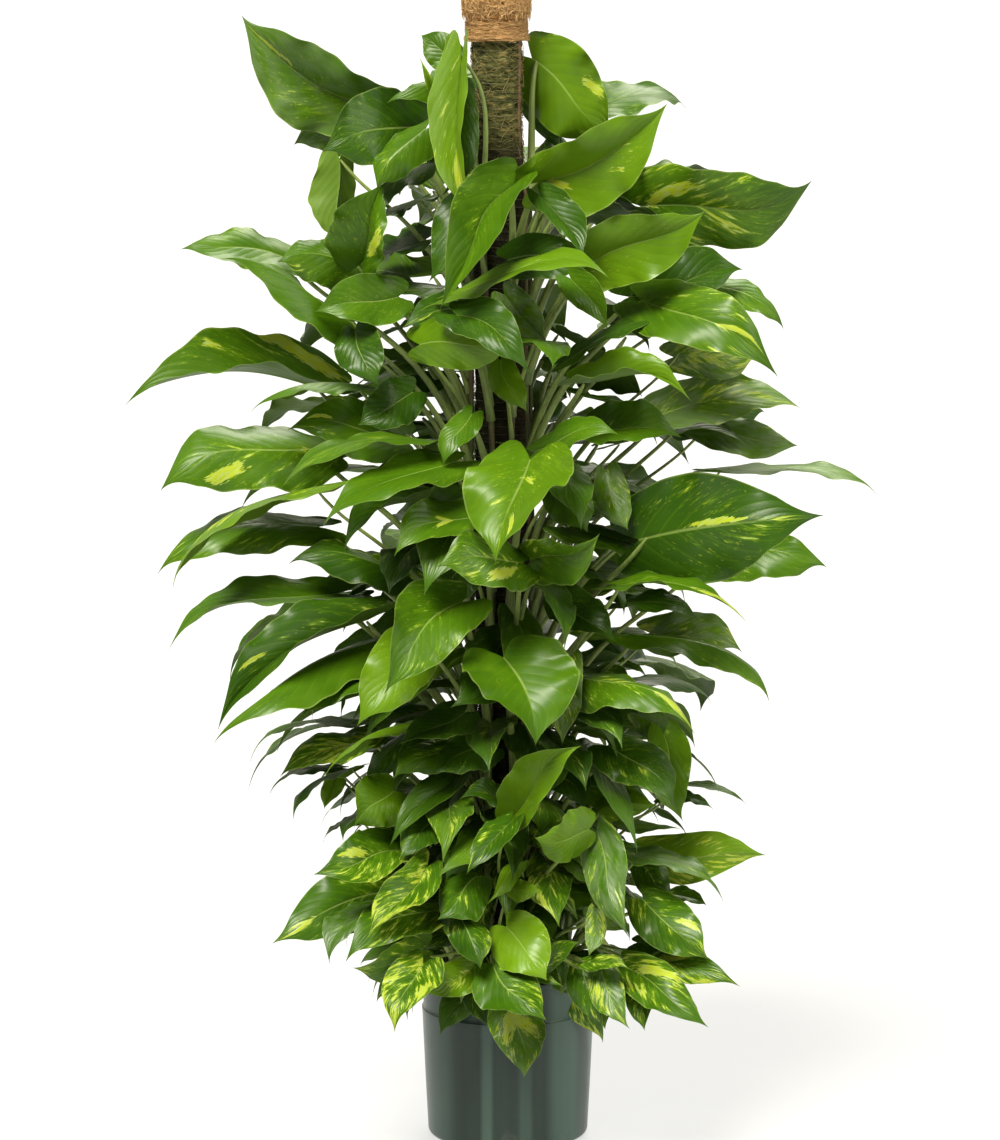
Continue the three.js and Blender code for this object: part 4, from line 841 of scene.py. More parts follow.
def fill_leaves(placed):
    """The leaves between the larger ones: each takes the first clear place of a few tried."""
    clearance = Clearance([leaf for leaf, *_ in placed])
    draws = random_from(RULE_SEED + 2)
    made = []
    spot = 0.0
    for count, *ranges, cream in FILL:
        for i in range(count):
            row = [low + (high - low) * (i + 0.5) / count for low, high in ranges]
            for _ in range(FILL_TRIES):
                spot += 2 * math.pi * GOLDEN_ANGLE
                leaf = fill_leaf(spot, row, draws, PHASE_STEP * len(made) + 1)
                if clearance.admits(leaf):
                    look = drawn_look(draws, FILL_STRAY, cream)
                    stem = stem_for(leaf)
                    made.append((leaf, stem, petiole_curve(leaf, stem, ROUTES[0], False), look))
                    break
    return made


def stem_for(leaf):
    """The stem that a leaf grows from: the nearest one round the pole that reaches its height."""
    base = leaf.base
    around = math.degrees(math.atan2(base.y, base.x - pole_x(base.z)))
    young = base.z < YOUNG_LEAVES_BELOW
    able = [s for s in STEMS if s.young == young and s.top > base.z - LEAF_OVER_STEM]
    return min(able, key=lambda s: abs((around - s.direction + 180) % 360 - 180))


BROADEST = 0.34
BASE_FALL = 0.36
FULLNESS = {"middle": 2.4, "swing": 0.5}
TAPER = 1.3
LOBE = {"depth": 0.17, "arc": 0.8 * math.pi}
MORE_ARCH = 0.05
ARCH_TO_TIP = {"low": 0.6, "more": 0.8}
SIDE_BEND = 0.07
SWAY = 0.035
FOLD_SWING = math.radians(13)
TWIST = {"angle": math.radians(42), "from": 0.25}
EDGE_FALL = 0.06
EDGE_ROLL = {"height": 0.3, "apart": 2.2}
WAVE = {"height": 0.12, "count": 2.2, "apart": 1.7}
# Finer waves at the margin, which the solids leave out.
CRISP = {"height": 0.05, "count": 5.5, "rate": 3.1, "apart": 2.3}
# The end of a blade narrows to a drip tip that hooks down.
DRIP_TIP = {"from": 0.8, "narrow": 0.5, "hook": 0.035}
# Each trait swings by the blade's own phase: at what rate, from where.
SWINGS = {
    "fullness": (1.7, 0),
    "fold": (2.1, 0),
    "twist": (1.3, 0.5),
    "bend": (0.9, 1),
    "sway": (0.5, 0.6),
    "roll": (0.7, 0),
}


def swing(leaf, trait, more=0):
    rate, start = SWINGS[trait]
    return np.sin(rate * leaf.phase + start + more)


def spread(leaf, u):
    """The half width of a blade along its midrib, from its base to its drip tip."""
    run = np.maximum(u - BROADEST, 0) / (1 - BROADEST)
    fullness = FULLNESS["middle"] + FULLNESS["swing"] * swing(leaf, "fullness")
    return np.where(u < BROADEST, 1 - BASE_FALL * ((BROADEST - u) / BROADEST) ** 2,
                    (1 - run ** fullness) ** TAPER)


def blade_points(leaf, u, v, crisp=0.0):
    """Points of the blade: u runs along the midrib, v across it from -1 to 1. Crisp is the height
    of the finer waves at the margin; without it the blade is as in the solids."""
    side, facing = np.abs(v), np.sign(v)
    drip = np.clip((u - DRIP_TIP["from"]) / (1 - DRIP_TIP["from"]), 0, 1) if crisp else 0
    half = leaf.width / 2 * spread(leaf, u) * (1 - DRIP_TIP["narrow"] * drip)
    reach = u - LOBE["depth"] * (1 - u) ** 3 * np.sin(LOBE["arc"] * side)
    more_to_tip = ARCH_TO_TIP["low"] + ARCH_TO_TIP["more"] * u
    bow = 4 * leaf.length * reach * (1 - np.maximum(reach, 0)) * more_to_tip
    bend = SIDE_BEND * swing(leaf, "bend") * bow
    sway = SWAY * swing(leaf, "sway") * leaf.length * np.sin(2 * np.pi * u)
    fold = leaf.fold + FOLD_SWING * swing(leaf, "fold")
    wave = WAVE["height"] * np.sin(2 * np.pi * WAVE["count"] * u + leaf.phase + WAVE["apart"] * facing)
    roll = EDGE_ROLL["height"] * swing(leaf, "roll", EDGE_ROLL["apart"] * facing) - EDGE_FALL
    out = half * math.cos(fold) * v
    lift = half * (math.sin(fold) * side + (wave + roll) * side ** 2)
    turn = 2 * np.pi * CRISP["count"] * u + CRISP["rate"] * leaf.phase + CRISP["apart"] * facing
    lift += crisp * half * np.sin(turn) * side ** 4
    twist = TWIST["angle"] * swing(leaf, "twist") * np.maximum(u - TWIST["from"], 0)
    across = bend + sway + out * np.cos(twist) - lift * np.sin(twist)
    rise = (leaf.arch + MORE_ARCH) * bow + out * np.sin(twist) + lift * np.cos(twist)
    rise -= DRIP_TIP["hook"] * leaf.length * drip ** 3
    return (np.array(leaf.base) + np.outer(leaf.length * reach, leaf.along)
            + np.outer(across, leaf.across) + np.outer(rise, leaf.normal))


def petiole_curve(leaf, stem, route, sunk):
    """The four points of the petiole's curve, from its stem up and out to the blade's base."""
    base = leaf.base
    flat = math.hypot(base.x - pole_x(base.z), base.y)
    rise = route[0] * min(max(PETIOLE_RISE["share"] * flat, PETIOLE_RISE["least"]), PETIOLE_RISE["most"])
    lowest = SOIL["middle_z"] + PETIOLE_ENDS["above_mix"]
    start = stem.middle(min(max(base.z - rise, lowest), stem.top - PETIOLE_ENDS["below_tip"]))
    span = base - start
    size = span.length
    away = Vector((span.x, span.y, 0)).normalized()
    sideways = Vector((-away.y, away.x, 0)) * route[1]
    up = Vector((0, 0, size))
    first = start + away * PETIOLE_START["out"] * size + sideways + up * PETIOLE_START["up"]
    second = base - away * PETIOLE_ARRIVAL["out"] * size + sideways \
        - up * PETIOLE_ARRIVAL["up"] * math.copysign(1, span.z)
    if sunk:
        end = Vector(blade_points(leaf, np.array([PETIOLE_REACH]), np.array([0.0]))[0])
    else:
        under = BLADE_SEAT * leaf.size
        end = base + leaf.along * under - leaf.normal * under
    return start, first, second, end


def on_curve(points, t):
    a, b, c, d = points
    s = 1 - t
    return a * s ** 3 + b * 3 * s * s * t + c * 3 * s * t * t + d * t ** 3


# The facets of the solids' blades, by least width: rows along the midrib and columns across it.
BLADE_CUTS = [
    (112, (0, 0.2, 0.5, 0.8), (-1, -0.5, 0, 0.5, 1)),
    (71, (0, 0.3, 0.68), (-1, 0, 1)),
    (0, (0, 0.5), (-1, 0, 1)),
]
SAME_POINT = 0.05


def point_tree(node):
    """A search tree over a node's corners, in millimetres."""
    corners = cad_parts[node].data.vertices
    tree = kdtree.KDTree(len(corners))
    for i, corner in enumerate(corners):
        tree.insert(corner.co / MM, i)
    tree.balance()
    return tree


def blade_matches(leaf, tree):
    """How many corners of the faceted blade the node has."""
    _, rows, columns = next(cut for cut in BLADE_CUTS if leaf.width >= cut[0])
    u, v = (grid.ravel() for grid in np.meshgrid(rows, columns))
    points = blade_points(leaf, np.append(u, 1.0), np.append(v, 0.0))
    return sum(tree.find(p)[2] < SAME_POINT for p in points)


def petiole_radius(leaf, t):
    return leaf.size * (PETIOLE_RADIUS[0] + (PETIOLE_RADIUS[1] - PETIOLE_RADIUS[0]) * t)


def petiole_matches(leaf, stem, route, sunk, tree):
    """How many corners of the faceted petiole's inner rings the node has."""
    curve = petiole_curve(leaf, stem, route, sunk)
    steps = PETIOLE_STEPS if (leaf.base - curve[0]).length > LONG_PETIOLE else PETIOLE_STEPS - 1
    found = 0
    for i in range(1, steps):
        t = i / steps
        radius = petiole_radius(leaf, t)
        near = tree.find_range(on_curve(curve, t), radius + SAME_POINT)
        found += sum(distance > radius - SAME_POINT for _, _, distance in near)
    return found


def placed_leaves():
    """Every leaf as (leaf, stem, petiole curve, look), where its solid stands."""
    trees = {stem.node: point_tree(stem.node) for stem in STEMS}
    placed = []
    for at, look in all_leaves():
        choices = []
        for shift in SHIFTS:
            leaf = at(shift)
            stem = stem_for(leaf)
            choices.append((blade_matches(leaf, trees[stem.node]), leaf, stem))
        _, leaf, stem = max(choices, key=lambda choice: choice[0])
        ways = [(route, sunk) for sunk in (False, True) for route in ROUTES]
        route, sunk = max(ways, key=lambda way: petiole_matches(leaf, stem, *way, trees[stem.node]))
        placed.append((leaf, stem, petiole_curve(leaf, stem, route, sunk), look))
    return placed


# ---- Meshes ----

# A patch that lies off the blade.
NO_PATCH = (-9, 0, 0.1, 0.1)
SKIN_CREASE = 50


class Skin:
    """Collects the points and faces of one piece, with a UV, a look and a seed at every point."""

    def __init__(self):
        self.points, self.faces, self.uvs, self.slots = [], [], [], []
        self.looks, self.patches, self.reaches, self.seeds = [], [], [], []

    def add(self, points, faces, uvs, slot, look, seed):
        first = len(self.points)
        self.points.extend(points)
        self.faces.extend([first + i for i in face] for face in faces)
        self.uvs.extend(uvs)
        patch = look[3] if len(look) > 3 else NO_PATCH
        self.looks.extend([look[:3]] * len(points))
        self.patches.extend([patch[:3]] * len(points))
        self.reaches.extend([patch[3]] * len(points))
        self.seeds.extend([seed] * len(points))
        self.slots.extend([slot] * len(faces) if isinstance(slot, int) else slot)

    def mesh(self, name, materials):
        mesh = bpy.data.meshes.new(name)
        mesh.from_pydata([Vector(p) * MM for p in self.points], [], self.faces)
        for made in materials:
            mesh.materials.append(made)
        mesh.polygons.foreach_set("material_index", self.slots)
        layer = mesh.uv_layers.new(name="UVMap")
        corners = np.zeros(len(mesh.loops), np.int32)
        mesh.loops.foreach_get("vertex_index", corners)
        layer.data.foreach_set("uv", np.array(self.uvs, np.float32)[corners].ravel())
        for key, values in (("look", self.looks), ("patch", self.patches)):
            layer = mesh.attributes.new(key, "FLOAT_VECTOR", "POINT")
            layer.data.foreach_set("vector", np.array(values, np.float32).ravel())
        for key, values in (("patch_reach", self.reaches), ("seed", self.seeds)):
            layer = mesh.attributes.new(key, "FLOAT", "POINT")
            layer.data.foreach_set("value", np.array(values, np.float32))
        smooth(mesh, SKIN_CREASE)
        mesh.validate()
        return mesh


def tube(points, radii, sides):
    """Points, faces and UVs of a round bar along a line, closed at its ends."""
    normal = Vector((0.31, 0.95, 0.05))
    ring_points, uvs = [], []
    count = len(points)
    for k, point in enumerate(points):
        tangent = (points[min(k + 1, count - 1)] - points[max(k - 1, 0)]).normalized()
        normal = (normal - tangent * normal.dot(tangent)).normalized()
        across = tangent.cross(normal)
        for i in range(sides):
            turn = i / sides * 2 * math.pi
            out = normal * radii[k] * math.cos(turn)
            ring_points.append(point + out + across * radii[k] * math.sin(turn))
            uvs.append((i / sides, k / (count - 1)))
    faces = []
    for k in range(count - 1):
        for i in range(sides):
            j = (i + 1) % sides
            faces.append((k * sides + i, k * sides + j, (k + 1) * sides + j, (k + 1) * sides + i))
    faces.append(tuple(reversed(range(sides))))
    faces.append(tuple(range((count - 1) * sides, count * sides)))
    return ring_points, faces, uvs


# Rows of points along a blade, by its width.
BLADE_ROWS = [(84, 44), (0, 32)]
BLADE_COLUMNS = np.array([-1, -0.96, -0.86, -0.72, -0.56, -0.4, -0.25, -0.12, -0.04, 0])
BLADE_COLUMNS = np.concatenate([BLADE_COLUMNS, -BLADE_COLUMNS[-2::-1]])
QUILT = 0.55
RIB_WIDTH = 1.6
# How much a blade thins to its margin and its tip, how deep its midrib's groove is, and how far it
# stands off the solid's faces.
BLADE_THIN = {"margin": 0.55, "tip": 0.4}
GROOVE = 0.45
BLADE_LIFT = 0.15
# The step in u and v over which a blade's normals are measured.
NORMAL_STEP = 0.004
TINY = 1e-9


def add_blade(skin, leaf, look, seed, settings):
    """A thin closed blade with a grooved midrib above, a rib below and quilting between its veins."""
    high = next(count for least, count in BLADE_ROWS if leaf.width >= least)
    wide = len(BLADE_COLUMNS)
    u = np.append(np.repeat(np.linspace(0, 1, high + 1)[:-1], wide), 1.0)
    v = np.append(np.tile(BLADE_COLUMNS, high), 0.0)
    side = np.abs(v)
    middle = blade_points(leaf, u, v, CRISP["height"])
    step = NORMAL_STEP
    along = blade_points(leaf, np.minimum(u + step, 1), v, CRISP["height"]) \
        - blade_points(leaf, np.maximum(u - step, 0), v, CRISP["height"])
    across = blade_points(leaf, u, np.minimum(v + step, 1), CRISP["height"]) \
        - blade_points(leaf, u, np.maximum(v - step, -1), CRISP["height"])
    normals = np.cross(across, along)
    normals[np.linalg.norm(normals, axis=1) < TINY] = np.array(leaf.normal)
    normals /= np.maximum(np.linalg.norm(normals, axis=1), TINY)[:, None]
    normals[normals @ np.array(leaf.normal) < 0] *= -1
    from_rib = side * leaf.width / 2 * spread(leaf, u)
    rib = np.exp(-(from_rib / RIB_WIDTH) ** 2) * (1 - u)
    vein = u - VEIN_SLANT * side ** VEIN_CURVE
    puffs = np.sin(2 * np.pi * VEINS * vein)
    quilt = QUILT * leaf.size * puffs * np.sin(np.pi * np.minimum(side, 1)) * (1 - u)
    thick = settings.thickness / MM * (1 - BLADE_THIN["margin"] * side ** 4) * (1 - BLADE_THIN["tip"] * u)
    lift = BLADE_LIFT + quilt
    upper = middle + normals * (lift + thick - GROOVE * rib)[:, None]
    lower = middle + normals * (lift - settings.rib / MM * leaf.size * rib)[:, None]

    count = len(middle)
    face = []
    for r in range(high - 1):
        for c in range(wide - 1):
            a = r * wide + c
            face.append((a, a + wide, a + wide + 1, a + 1))
    last = (high - 1) * wide
    face += [(last + c + 1, last + c, count - 1) for c in range(wide - 1)]
    rim = [r * wide for r in range(high)] + [count - 1]
    rim += [r * wide + wide - 1 for r in range(high - 1, -1, -1)] + list(range(wide - 2, 0, -1))
    bottom = [tuple(count + i for i in reversed(face_row)) for face_row in face]
    edge = [(a, count + a, count + b, b) for a, b in zip(rim, rim[1:] + rim[:1])]
    uvs = [(0.5 + 0.5 * float(b), float(a)) for a, b in zip(u, v)]
    slots = [UPPER] * len(face) + [UNDER] * len(bottom) + [UPPER] * len(edge)
    points = list(map(tuple, np.concatenate([upper, lower])))
    skin.add(points, face + bottom + edge, uvs * 2, slots, look, seed)


UPPER, UNDER, STALK, BARK = range(4)
PETIOLE_RINGS = 16
PETIOLE_SIDES = 9
# Swellings of a petiole: how large, where along it, how long.
PETIOLE_FOOT = (0.3, 0, 0.08)
PETIOLE_KNEE = (0.14, 0.92, 0.05)
# A petiole's radius beside its solid's, and at its very end.
PETIOLE_SLIM, PETIOLE_TIP = 0.92, 0.6


def swelling(t, size, at, reach):
    return size * math.exp(-((t - at) / reach) ** 2)


def add_petiole(skin, leaf, curve, look, seed):
    """A petiole: a sheathing foot on the stem, a slim stalk, and a slight knee below the blade."""
    points = [on_curve(curve, i / PETIOLE_RINGS) for i in range(PETIOLE_RINGS + 1)]
    radii = []
    for i in range(PETIOLE_RINGS + 1):
        t = i / PETIOLE_RINGS
        swell = 1 + swelling(t, *PETIOLE_FOOT) + swelling(t, *PETIOLE_KNEE)
        radii.append(petiole_radius(leaf, t) * swell * (PETIOLE_SLIM if t < 1 else PETIOLE_TIP))
    skin.add(*tube(points, radii, PETIOLE_SIDES), STALK, look, seed)


STEM_STEP = 9
STEM_ROWS_LEAST = 8
STEM_SIDES = 12
NODE_GAP = 62
# The rings at a stem's nodes: how large, and a power that makes them narrow.
NODE_RING = {"size": 0.16, "power": 10}
# A stem's radius beside its solid's, how much it tapers, and what is left of it at its very tip.
STEM_FORM = {"slim": 0.94, "taper": 0.3, "tip": 0.45}
STEM_LOOK = (0.5, 0, 0)


def add_stem(skin, stem, seed):
    """A stem with a ring at each of its nodes."""
    count = max(int((stem.top - STEM_FOOT) / STEM_STEP), STEM_ROWS_LEAST)
    points, radii = [], []
    for i in range(count + 1):
        up = i / count
        z = STEM_FOOT + (stem.top - STEM_FOOT) * up
        swell = 1 + NODE_RING["size"] * max(math.cos(2 * math.pi * z / NODE_GAP), 0) ** NODE_RING["power"]
        tip = 1 if up < 1 else STEM_FORM["tip"]
        points.append(stem.middle(z))
        radii.append(stem.radius * (1 - STEM_FORM["taper"] * up) * STEM_FORM["slim"] * swell * tip)
    skin.add(*tube(points, radii, STEM_SIDES), STALK if stem.young else BARK, STEM_LOOK, seed)


def piece(name, mesh, slot, *nodes):
    """Puts a finished mesh in the scene, riding on the part, in place of its solids."""
    made = bpy.data.objects.new(name, mesh)
    bpy.context.scene.collection.objects.link(made)
    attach(made, "root")
    if nodes:
        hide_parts(*nodes)


# ---- Geometry Nodes ----

def new_tree(name, sockets):
    """A Geometry Nodes tree with a geometry input, named inputs and a geometry output."""
    tree = bpy.data.node_groups.new(name, "GeometryNodeTree")
    tree.interface.new_socket("Geometry", in_out="INPUT", socket_type="NodeSocketGeometry")
    for socket_name, kind in sockets.items():
        tree.interface.new_socket(socket_name, in_out="INPUT", socket_type=f"NodeSocket{kind}")
    tree.interface.new_socket("Geometry", in_out="OUTPUT", socket_type="NodeSocketGeometry")
    return tree, Graph(tree), tree.nodes.new("NodeGroupInput"), tree.nodes.new("NodeGroupOutput")


STRAND_SIDES = 3
STRAND_POINTS = 4


def strand_shape(graph, ends, radius):
    """A curved strand about the origin, as an instance: ends are its bezier points."""
    start, first, second, end = ends
    curve = graph.add("GeometryNodeCurvePrimitiveBezierSegment", {
        "Resolution": STRAND_POINTS, "Start": start, "Start Handle": first, "End Handle": second, "End": end})
    ring = graph.add("GeometryNodeCurvePrimitiveCircle", {"Resolution": STRAND_SIDES, "Radius": radius})
    return graph.add("GeometryNodeCurveToMesh", {"Curve": curve, "Profile Curve": ring.outputs[0]})


def scattered(graph, get):
    """Points over a surface, by the tree's own inputs."""
    return graph.add("GeometryNodeDistributePointsOnFaces", {
        "Mesh": get["Geometry"], "Density": get["Density"], "Seed": get["Seed"]})


def between(graph, kind, low, high, seed):
    """A random value for each point."""
    return graph.add("FunctionNodeRandomValue", {"Min": low, "Max": high, "Seed": seed}, data_type=kind)


def finish_tree(graph, instances, shade_seed, output, material_socket):
    """Gives every instance its own shade, then makes the instances real and sets their material."""
    shade = graph.add("FunctionNodeRandomValue", {"Seed": shade_seed}, data_type="FLOAT")
    stored = graph.add("GeometryNodeStoreNamedAttribute", {
        "Geometry": instances, "Name": "shade", "Value": shade.outputs[1]},
        data_type="FLOAT", domain="INSTANCE")
    real = graph.add("GeometryNodeRealizeInstances", {"Geometry": stored})
    done = graph.add("GeometryNodeSetMaterial", {"Geometry": real, "Material": material_socket})
    graph.tree.links.new(done.outputs[0], output.inputs[0])


def strand_tree():
    """Strands scattered over a surface: each lies level along it, turned at random by up to the spread,
    and stands off a little at one end."""
    tree, graph, given, output = new_tree("strands_on_surface", {
        "Density": "Float", "Length": "Float", "Radius": "Float", "Bow": "Float", "Stand": "Float",
        "Spread": "Float", "Seed": "Int", "Material": "Material"})
    get = given.outputs
    points = scattered(graph, get)
    half = graph.times(get["Length"], 0.5)
    back = graph.times(half, -1.0)
    lift = graph.times(get["Length"], get["Bow"])
    rise = graph.times(get["Length"], get["Stand"])
    strand = strand_shape(graph, (
        graph.vector(back, 0.0, 0.0),
        graph.vector(graph.times(back, 0.4), lift, graph.times(rise, 0.5)),
        graph.vector(graph.times(half, 0.4), graph.times(lift, -0.6), rise),
        graph.vector(half, 0.0, rise)), get["Radius"])
    upright = graph.add("FunctionNodeAlignRotationToVector", {
        "Rotation": points.outputs["Rotation"], "Vector": (0.0, 0.0, 1.0)}, axis="Y", pivot_axis="Z")
    turn = between(graph, "FLOAT", graph.times(get["Spread"], -1.0), get["Spread"], get["Seed"])
    turn_z = graph.add("FunctionNodeAxisAngleToRotation", {"Axis": (0.0, 0.0, 1.0), "Angle": turn.outputs[1]})
    facing = graph.add("FunctionNodeRotateRotation", {
        "Rotation": upright.outputs[0], "Rotate By": turn_z.outputs[0]}, rotation_space="LOCAL")
    size = between(graph, "FLOAT", 0.5, 1.2, 3)
    placed = graph.add("GeometryNodeInstanceOnPoints", {
        "Points": points.outputs["Points"], "Instance": strand, "Rotation": facing.outputs[0],
        "Scale": size.outputs[1]})
    finish_tree(graph, placed, 11, output, get["Material"])
    return tree


def crumb_tree():
    """Crumbs scattered over a surface, each turned and sized at random."""
    tree, graph, given, output = new_tree("crumbs_on_surface", {
        "Density": "Float", "Size": "Float", "Seed": "Int", "Material": "Material"})
    get = given.outputs
    points = scattered(graph, get)
    radius = graph.times(get["Size"], 0.5)
    crumb = graph.add("GeometryNodeMeshIcoSphere", {"Radius": radius, "Subdivisions": 1})
    turn = between(graph, "FLOAT_VECTOR", (0.0, 0.0, 0.0), (6.3, 6.3, 6.3), 5)
    size = between(graph, "FLOAT_VECTOR", (0.25, 0.2, 0.15), (1.4, 0.9, 0.6), 6)
    placed = graph.add("GeometryNodeInstanceOnPoints", {
        "Points": points.outputs["Points"], "Instance": crumb, "Rotation": turn.outputs[0],
        "Scale": size.outputs[0]})
    finish_tree(graph, placed, 12, output, get["Material"])
    return tree


def winding_tree():
    """A cord wound round an upright axis: a spiral given its thickness."""
    tree, graph, given, output = new_tree("winding", {
        "Turns": "Float", "Radius": "Float", "Height": "Float", "Cord": "Float", "Points": "Int",
        "Sides": "Int", "Material": "Material"})
    get = given.outputs
    spiral = graph.add("GeometryNodeCurveSpiral", {
        "Resolution": get["Points"], "Rotations": get["Turns"], "Start Radius": get["Radius"],
        "End Radius": get["Radius"], "Height": get["Height"]})
    ring = graph.add("GeometryNodeCurvePrimitiveCircle", {"Resolution": get["Sides"], "Radius": get["Cord"]})
    cord = graph.add("GeometryNodeCurveToMesh", {
        "Curve": spiral, "Profile Curve": ring.outputs[0], "Fill Caps": True})
    rounded = graph.add("GeometryNodeSetShadeSmooth", {0: cord})
    real = graph.add("GeometryNodeRealizeInstances", {"Geometry": rounded})
    done = graph.add("GeometryNodeSetMaterial", {"Geometry": real, "Material": get["Material"]})
    tree.links.new(done.outputs[0], output.inputs[0])
    return tree


def grown(name, mesh, tree, values):
    """The plain mesh that a tree makes on a mesh."""
    carrier = bpy.data.objects.new(name, mesh)
    bpy.context.scene.collection.objects.link(carrier)
    modifier = carrier.modifiers.new(tree.name, "NODES")
    modifier.node_group = tree
    for item in tree.interface.items_tree:
        if item.in_out == "INPUT" and item.name in values:
            modifier[item.identifier] = values[item.name]
    graph = bpy.context.evaluated_depsgraph_get()
    made = bpy.data.meshes.new_from_object(carrier.evaluated_get(graph), depsgraph=graph)
    bpy.data.objects.remove(carrier)
    made.name = name
    return made


def grown_piece(name, mesh, tree, slot, values):
    piece(name, grown(name, mesh, tree, values), slot)


# ---- Turned meshes ----

LEANED = Matrix.Rotation(-LEAN, 4, "Y")
WELD = 1e-6


def evenly(low, high, count):
    return [low + (high - low) * i / count for i in range(count + 1)]


def revolve(name, profile, segments, closed=True, wobble=None):
    """A surface turned round the Z axis; a wobble moves each point out by a formula."""
    points, faces = [], []
    rows = len(profile)
    for r, z in profile:
        for i in range(segments):
            turn = 2 * math.pi * i / segments
            out = r + (wobble(turn, z, r) if wobble and r > 0 else 0)
            points.append((out * math.cos(turn), out * math.sin(turn), z))
    for k in range(rows if closed else rows - 1):
        for i in range(segments):
            j = (i + 1) % segments
            a, b = k * segments, (k + 1) % rows * segments
            faces.append((a + i, a + j, b + j, b + i))
    mesh = bpy.data.meshes.new(name)
    mesh.from_pydata([Vector(p) * MM for p in points], [], faces)
    return mesh


def weld(mesh):
    """Merges doubled points and turns the faces outwards."""
    made = bmesh.new()
    made.from_mesh(mesh)
    bmesh.ops.remove_doubles(made, verts=made.verts, dist=WELD)
    bmesh.ops.dissolve_degenerate(made, edges=made.edges, dist=WELD)
    bmesh.ops.recalc_face_normals(made, faces=made.faces)
    made.to_mesh(mesh)
    made.free()
    return mesh


def smooth(mesh, crease):
    mesh.shade_smooth()
    mesh.set_sharp_from_angle(angle=math.radians(crease))


# ---- Pot and mix ----

POT_SIDES = 160
POT_CREASE = 30
# Radii of the pot's rounded edges: the shoulder and the mouth, the rim from below and from above.
EDGE_ROUND, RIM_BELOW, RIM_ABOVE = 1.2, 1.4, 1.6
# Painted reflections of the studio lamps, as paler upright bands on the plastic: distance from the middle
# across the view, half width, strength.
REFLECTION_BANDS = [(-98, 30, 0.4), (-29, 11, 0.6), (24, 13, 0.35), (78, 30, 0.62), (116, 8, 0.4)]
DUST = (0.16, 0.15, 0.13)
MIX_BARK = (0.20, 0.085, 0.04)
MIX_PERLITE = (0.55, 0.52, 0.46)
MIX_SIDES, MIX_RINGS = 120, 26
# Lumps on the mix: how often to the metre, and how high in millimetres.
MIX_LUMPS = [(90, 2.2), (320, 1.1)]
MIX_SINK = 1.2


def pot_outer(z):
    return POT["base"] + (POT["shoulder"] - POT["base"]) * min(z / POT["shoulder_z"], 1)


def arc(centre, radius, start, end, steps):
    """Points of an arc in the profile's plane, in degrees."""
    turns = [math.radians(turn) for turn in evenly(start, end, steps)]
    return [(centre[0] + radius * math.cos(t), centre[1] + radius * math.sin(t)) for t in turns]


def pot_profile():
    base, collar, rim = POT["base"], POT["collar"], POT["rim"]
    shoulder_z, height, wall = POT["shoulder_z"], POT["height"], POT["wall"]
    floor, corner, lip = POT["floor"], POT["corner"], POT["lip"]
    inner_foot = pot_outer(floor + corner) - wall
    edge, below, above = EDGE_ROUND, RIM_BELOW, RIM_ABOVE
    profile = [(0, 0), (base - corner, 0)]
    profile += arc((base - corner, corner), corner, -90, 0, 8)[1:]
    profile += [(pot_outer(z) - 0.1, z) for z in (60, 120, 170)]
    profile += arc((POT["shoulder"] - edge, shoulder_z - edge), edge, 0, 80, 4)
    profile += [(collar + 0.4, shoulder_z + 2.4), (collar, shoulder_z + 4), (collar + 0.5, height - lip - 1)]
    profile += arc((rim - below, height - lip + below), below, -90, 0, 4)
    profile += arc((rim - above, height - above), above, 0, 90, 4)
    profile += arc((collar - wall + edge, height - edge), edge, 90, 180, 4)
    profile += [(collar - wall, shoulder_z + 3), (inner_foot, floor + corner)]
    profile += [(inner_foot - corner, floor), (0, floor)]
    return profile


def drain_cutter():
    """Upright prisms that cut the drain holes in the pot's floor."""
    points, faces = [], []
    sides = DRAIN["sides"]
    for hole in range(DRAIN["count"]):
        turn = (hole + 0.5) / DRAIN["count"] * 2 * math.pi
        x, y = DRAIN["ring"] * math.cos(turn), DRAIN["ring"] * math.sin(turn)
        first = len(points)
        for z in (-DRAIN["cut"], DRAIN["cut"]):
            for i in range(sides):
                step = 2 * math.pi * i / sides
                out, along = DRAIN["radius"] * math.cos(step), DRAIN["radius"] * math.sin(step)
                points.append(((x + out) * MM, (y + along) * MM, z * MM))
        faces.append([first + i for i in reversed(range(sides))])
        faces.append([first + sides + i for i in range(sides)])
        for i in range(sides):
            j = (i + 1) % sides
            faces.append((first + i, first + j, first + sides + j, first + sides + i))
    mesh = bpy.data.meshes.new("drains")
    mesh.from_pydata(points, [], faces)
    return mesh


